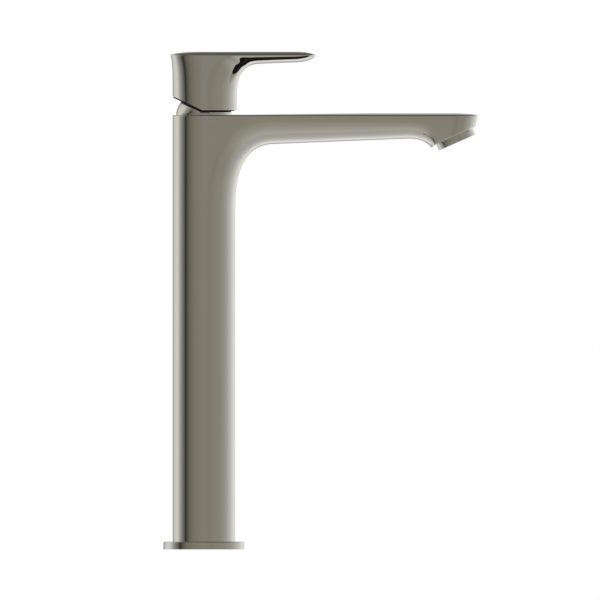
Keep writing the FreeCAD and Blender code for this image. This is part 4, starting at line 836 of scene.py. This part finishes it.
# The dark ceiling, against the sine of the height.
CEILING = [(0.0, 0.135), (0.8, 0.125), (1.0, 0.10)]
STEEPNESS = (0.3, 1.0)             # the walls give way to below and upward between these slopes
CEILING_EDGE = (-0.01, 0.05)       # soft edge of the ceiling about its limit
CEILING_SIDE = (0.12, 0.5)         # how far to the side the ceiling's limit rises, and to what
CEILING_RIGHT = (0.24, 0.42)
CEILING_LEFT = (0.0, 0.36)
SECOND_CEILING = 0.15              # the ceiling in the second reflection
THIRD_GLOW = 0.1                   # and everything in the third


def tinted(level, angle):
    """The walls are warmer at the front and cooler at the sides and back."""
    share = min(1.0, max(0.0, (abs(angle) - COOL_START) / COOL_RUN))
    return tuple(min(1.0, level * (w + share * (c - w))) for w, c in zip(WARM, COOL))


def ball_mesh(around=64, up=32):
    vertices, faces = [], []
    for j in range(up + 1):
        lift = math.pi * (j / up - 0.5)
        for i in range(around):
            turn = 2 * math.pi * i / around
            vertices.append((BALL_CENTRE[0] + BALL_RADIUS * math.cos(lift) * math.sin(turn),
                             BALL_CENTRE[1] - BALL_RADIUS * math.cos(lift) * math.cos(turn),
                             BALL_CENTRE[2] + BALL_RADIUS * math.sin(lift)))
    for j in range(up):
        for i in range(around):
            k = (i + 1) % around
            faces.append((j * around + i, j * around + k, (j + 1) * around + k, (j + 1) * around + i))
    return mesh_object("studio_ball", vertices, faces)


def ball_direction(tree):
    """The direction from the set's middle to the place on the ball, as x, y and z sockets."""
    geometry = add(tree, "ShaderNodeNewGeometry")
    offset = add(tree, "ShaderNodeVectorMath", operation="SUBTRACT")
    offset.inputs[1].default_value = BALL_CENTRE
    unit = add(tree, "ShaderNodeVectorMath", operation="NORMALIZE")
    split = add(tree, "ShaderNodeSeparateXYZ")
    tree.links.new(geometry.outputs["Position"], offset.inputs[0])
    tree.links.new(offset.outputs[0], unit.inputs[0])
    tree.links.new(unit.outputs[0], split.inputs[0])
    return split.outputs[0], split.outputs[1], split.outputs[2]


def light_colours(tree, x, y, z):
    """Colours of the walls, below, upward and ceiling for a direction."""
    link = tree.links.new
    angle = math_node(tree, "ARCCOSINE", math_node(tree, "MULTIPLY", y, -1.0))
    signed = math_node(tree, "MULTIPLY", angle, math_node(tree, "SIGN", x))
    lean = math_node(tree, "MULTIPLY", z, math_node(tree, "MINIMUM", x, 0.0))
    signed = math_node(tree, "ADD", signed, math_node(tree, "MULTIPLY", lean, WALLS_LEAN))
    walls = ramp(tree, [((a + 180) / 360, tinted(level, a)) for a, level in WALLS])
    link(math_node(tree, "ADD", math_node(tree, "DIVIDE", signed, 2 * math.pi), 0.5), walls.inputs["Fac"])
    half_turn = math_node(tree, "DIVIDE", angle, math.pi)
    below = ramp(tree, [(a / 180, (level, level, min(1.0, level * blue))) for a, level, blue in BELOW])
    link(half_turn, below.inputs["Fac"])
    upward = ramp(tree, [(a / 180, (level, level, level * UPWARD_BLUE)) for a, level in UPWARD])
    link(half_turn, upward.inputs["Fac"])
    ceiling = ramp(tree, CEILING)
    link(z, ceiling.inputs["Fac"])
    return [node.outputs["Color"] for node in (walls, below, upward, ceiling)]


def only_reflected(piece):
    piece.visible_camera = False
    piece.visible_diffuse = False
    piece.visible_shadow = False
    piece.visible_transmission = False
    piece.visible_volume_scatter = False


def studio_walls():
    """A wide ball round the set that only polished surfaces see."""
    ball = ball_mesh()
    material, tree = new_tree("studio_light")
    link = tree.links.new
    x, y, z = ball_direction(tree)
    walls, below, upward, ceiling = light_colours(tree, x, y, z)
    bounces = add(tree, "ShaderNodeLightPath").outputs["Glossy Depth"]
    dim = add(tree, "ShaderNodeVectorMath", operation="SCALE")
    link(ceiling, dim.inputs[0])
    link(between(tree, bounces, 1.0, 2.0, 1.0, SECOND_CEILING), dim.inputs["Scale"])

    # a hair over 1, so that nothing is divided by 0 straight ahead
    across = math_node(tree, "SQRT", math_node(tree, "SUBTRACT", 1.0001, math_node(tree, "MULTIPLY", y, y)))
    down = math_node(tree, "DIVIDE", math_node(tree, "MULTIPLY", z, -1.0), across)
    near, far = CEILING_SIDE
    limit = math_node(tree, "ADD", between(tree, x, near, far, *CEILING_RIGHT),
                      between(tree, x, -near, -far, *CEILING_LEFT))
    over_limit = math_node(tree, "SUBTRACT", z, limit)
    level, steep = STEEPNESS
    seen = walls
    for colour, share in ((below, between(tree, down, level, steep)),
                          (upward, between(tree, down, -level, -steep)),
                          (dim.outputs[0], between(tree, over_limit, *CEILING_EDGE))):
        mix = add(tree, "ShaderNodeMix", data_type="RGBA")
        link(share, mix.inputs[0])
        link(seen, mix.inputs[6])
        link(colour, mix.inputs[7])
        seen = mix.outputs[2]
    glow = add(tree, "ShaderNodeEmission")
    output = add(tree, "ShaderNodeOutputMaterial")
    link(between(tree, bounces, 2.0, 3.0, 1.0, THIRD_GLOW), glow.inputs["Strength"])
    link(seen, glow.inputs["Color"])
    link(glow.outputs[0], output.inputs["Surface"])
    ball.data.materials.append(material)
    only_reflected(ball)


FLOOR_SIZE = 6.0
FLOOR_DROP = 0.0004
FLOOR_COLOUR = (0.93, 0.93, 0.93, 1.0)


def floor():
    """A plain pale floor that keeps the object's shadow."""
    size = FLOOR_SIZE
    ground = mesh_object("floor", [(-size, -size, 0), (size, -size, 0), (size, size, 0), (-size, size, 0)],
                         [(0, 1, 2, 3)])
    ground.location.z = -FLOOR_DROP
    ground.visible_glossy = False
    material, tree = new_tree("pale_floor")
    shader = add(tree, "ShaderNodeBsdfDiffuse", in_Color=FLOOR_COLOUR)
    output = add(tree, "ShaderNodeOutputMaterial")
    tree.links.new(shader.outputs[0], output.inputs["Surface"])
    ground.data.materials.append(material)


KEY_PLACE = (-0.9, -1.3, 1.5)
KEY_AIM = (0.05, 0, 0.15)
KEY_SIZE = 1.2
KEY_POWER = 9.0


def key_lamp():
    light = bpy.data.lights.new("key", "AREA")
    light.energy = KEY_POWER
    light.size = KEY_SIZE
    holder = bpy.data.objects.new("key", light)
    holder.location = KEY_PLACE
    direction = Vector(KEY_AIM) - Vector(KEY_PLACE)
    holder.rotation_euler = direction.to_track_quat("-Z", "Y").to_euler()
    holder.visible_glossy = False
    bpy.context.scene.collection.objects.link(holder)


CAMERA_PLACE = (0.06436, -2.0, 0.16713)
CAMERA_WIDTH = 0.402
CAMERA_REACH = 20.0


def camera():
    """A level side view, as in the photo."""
    data = bpy.data.cameras.new("camera")
    data.type = "ORTHO"
    data.ortho_scale = CAMERA_WIDTH
    data.clip_end = CAMERA_REACH
    holder = bpy.data.objects.new("camera", data)
    holder.location = CAMERA_PLACE
    holder.rotation_euler = (math.radians(90), 0, 0)
    bpy.context.scene.collection.objects.link(holder)
    bpy.context.scene.camera = holder


bpy.context.scene.view_settings.view_transform = "Standard"
world()
studio_walls()
floor()
key_lamp()
camera()
dress_cad_nodes()
castings()
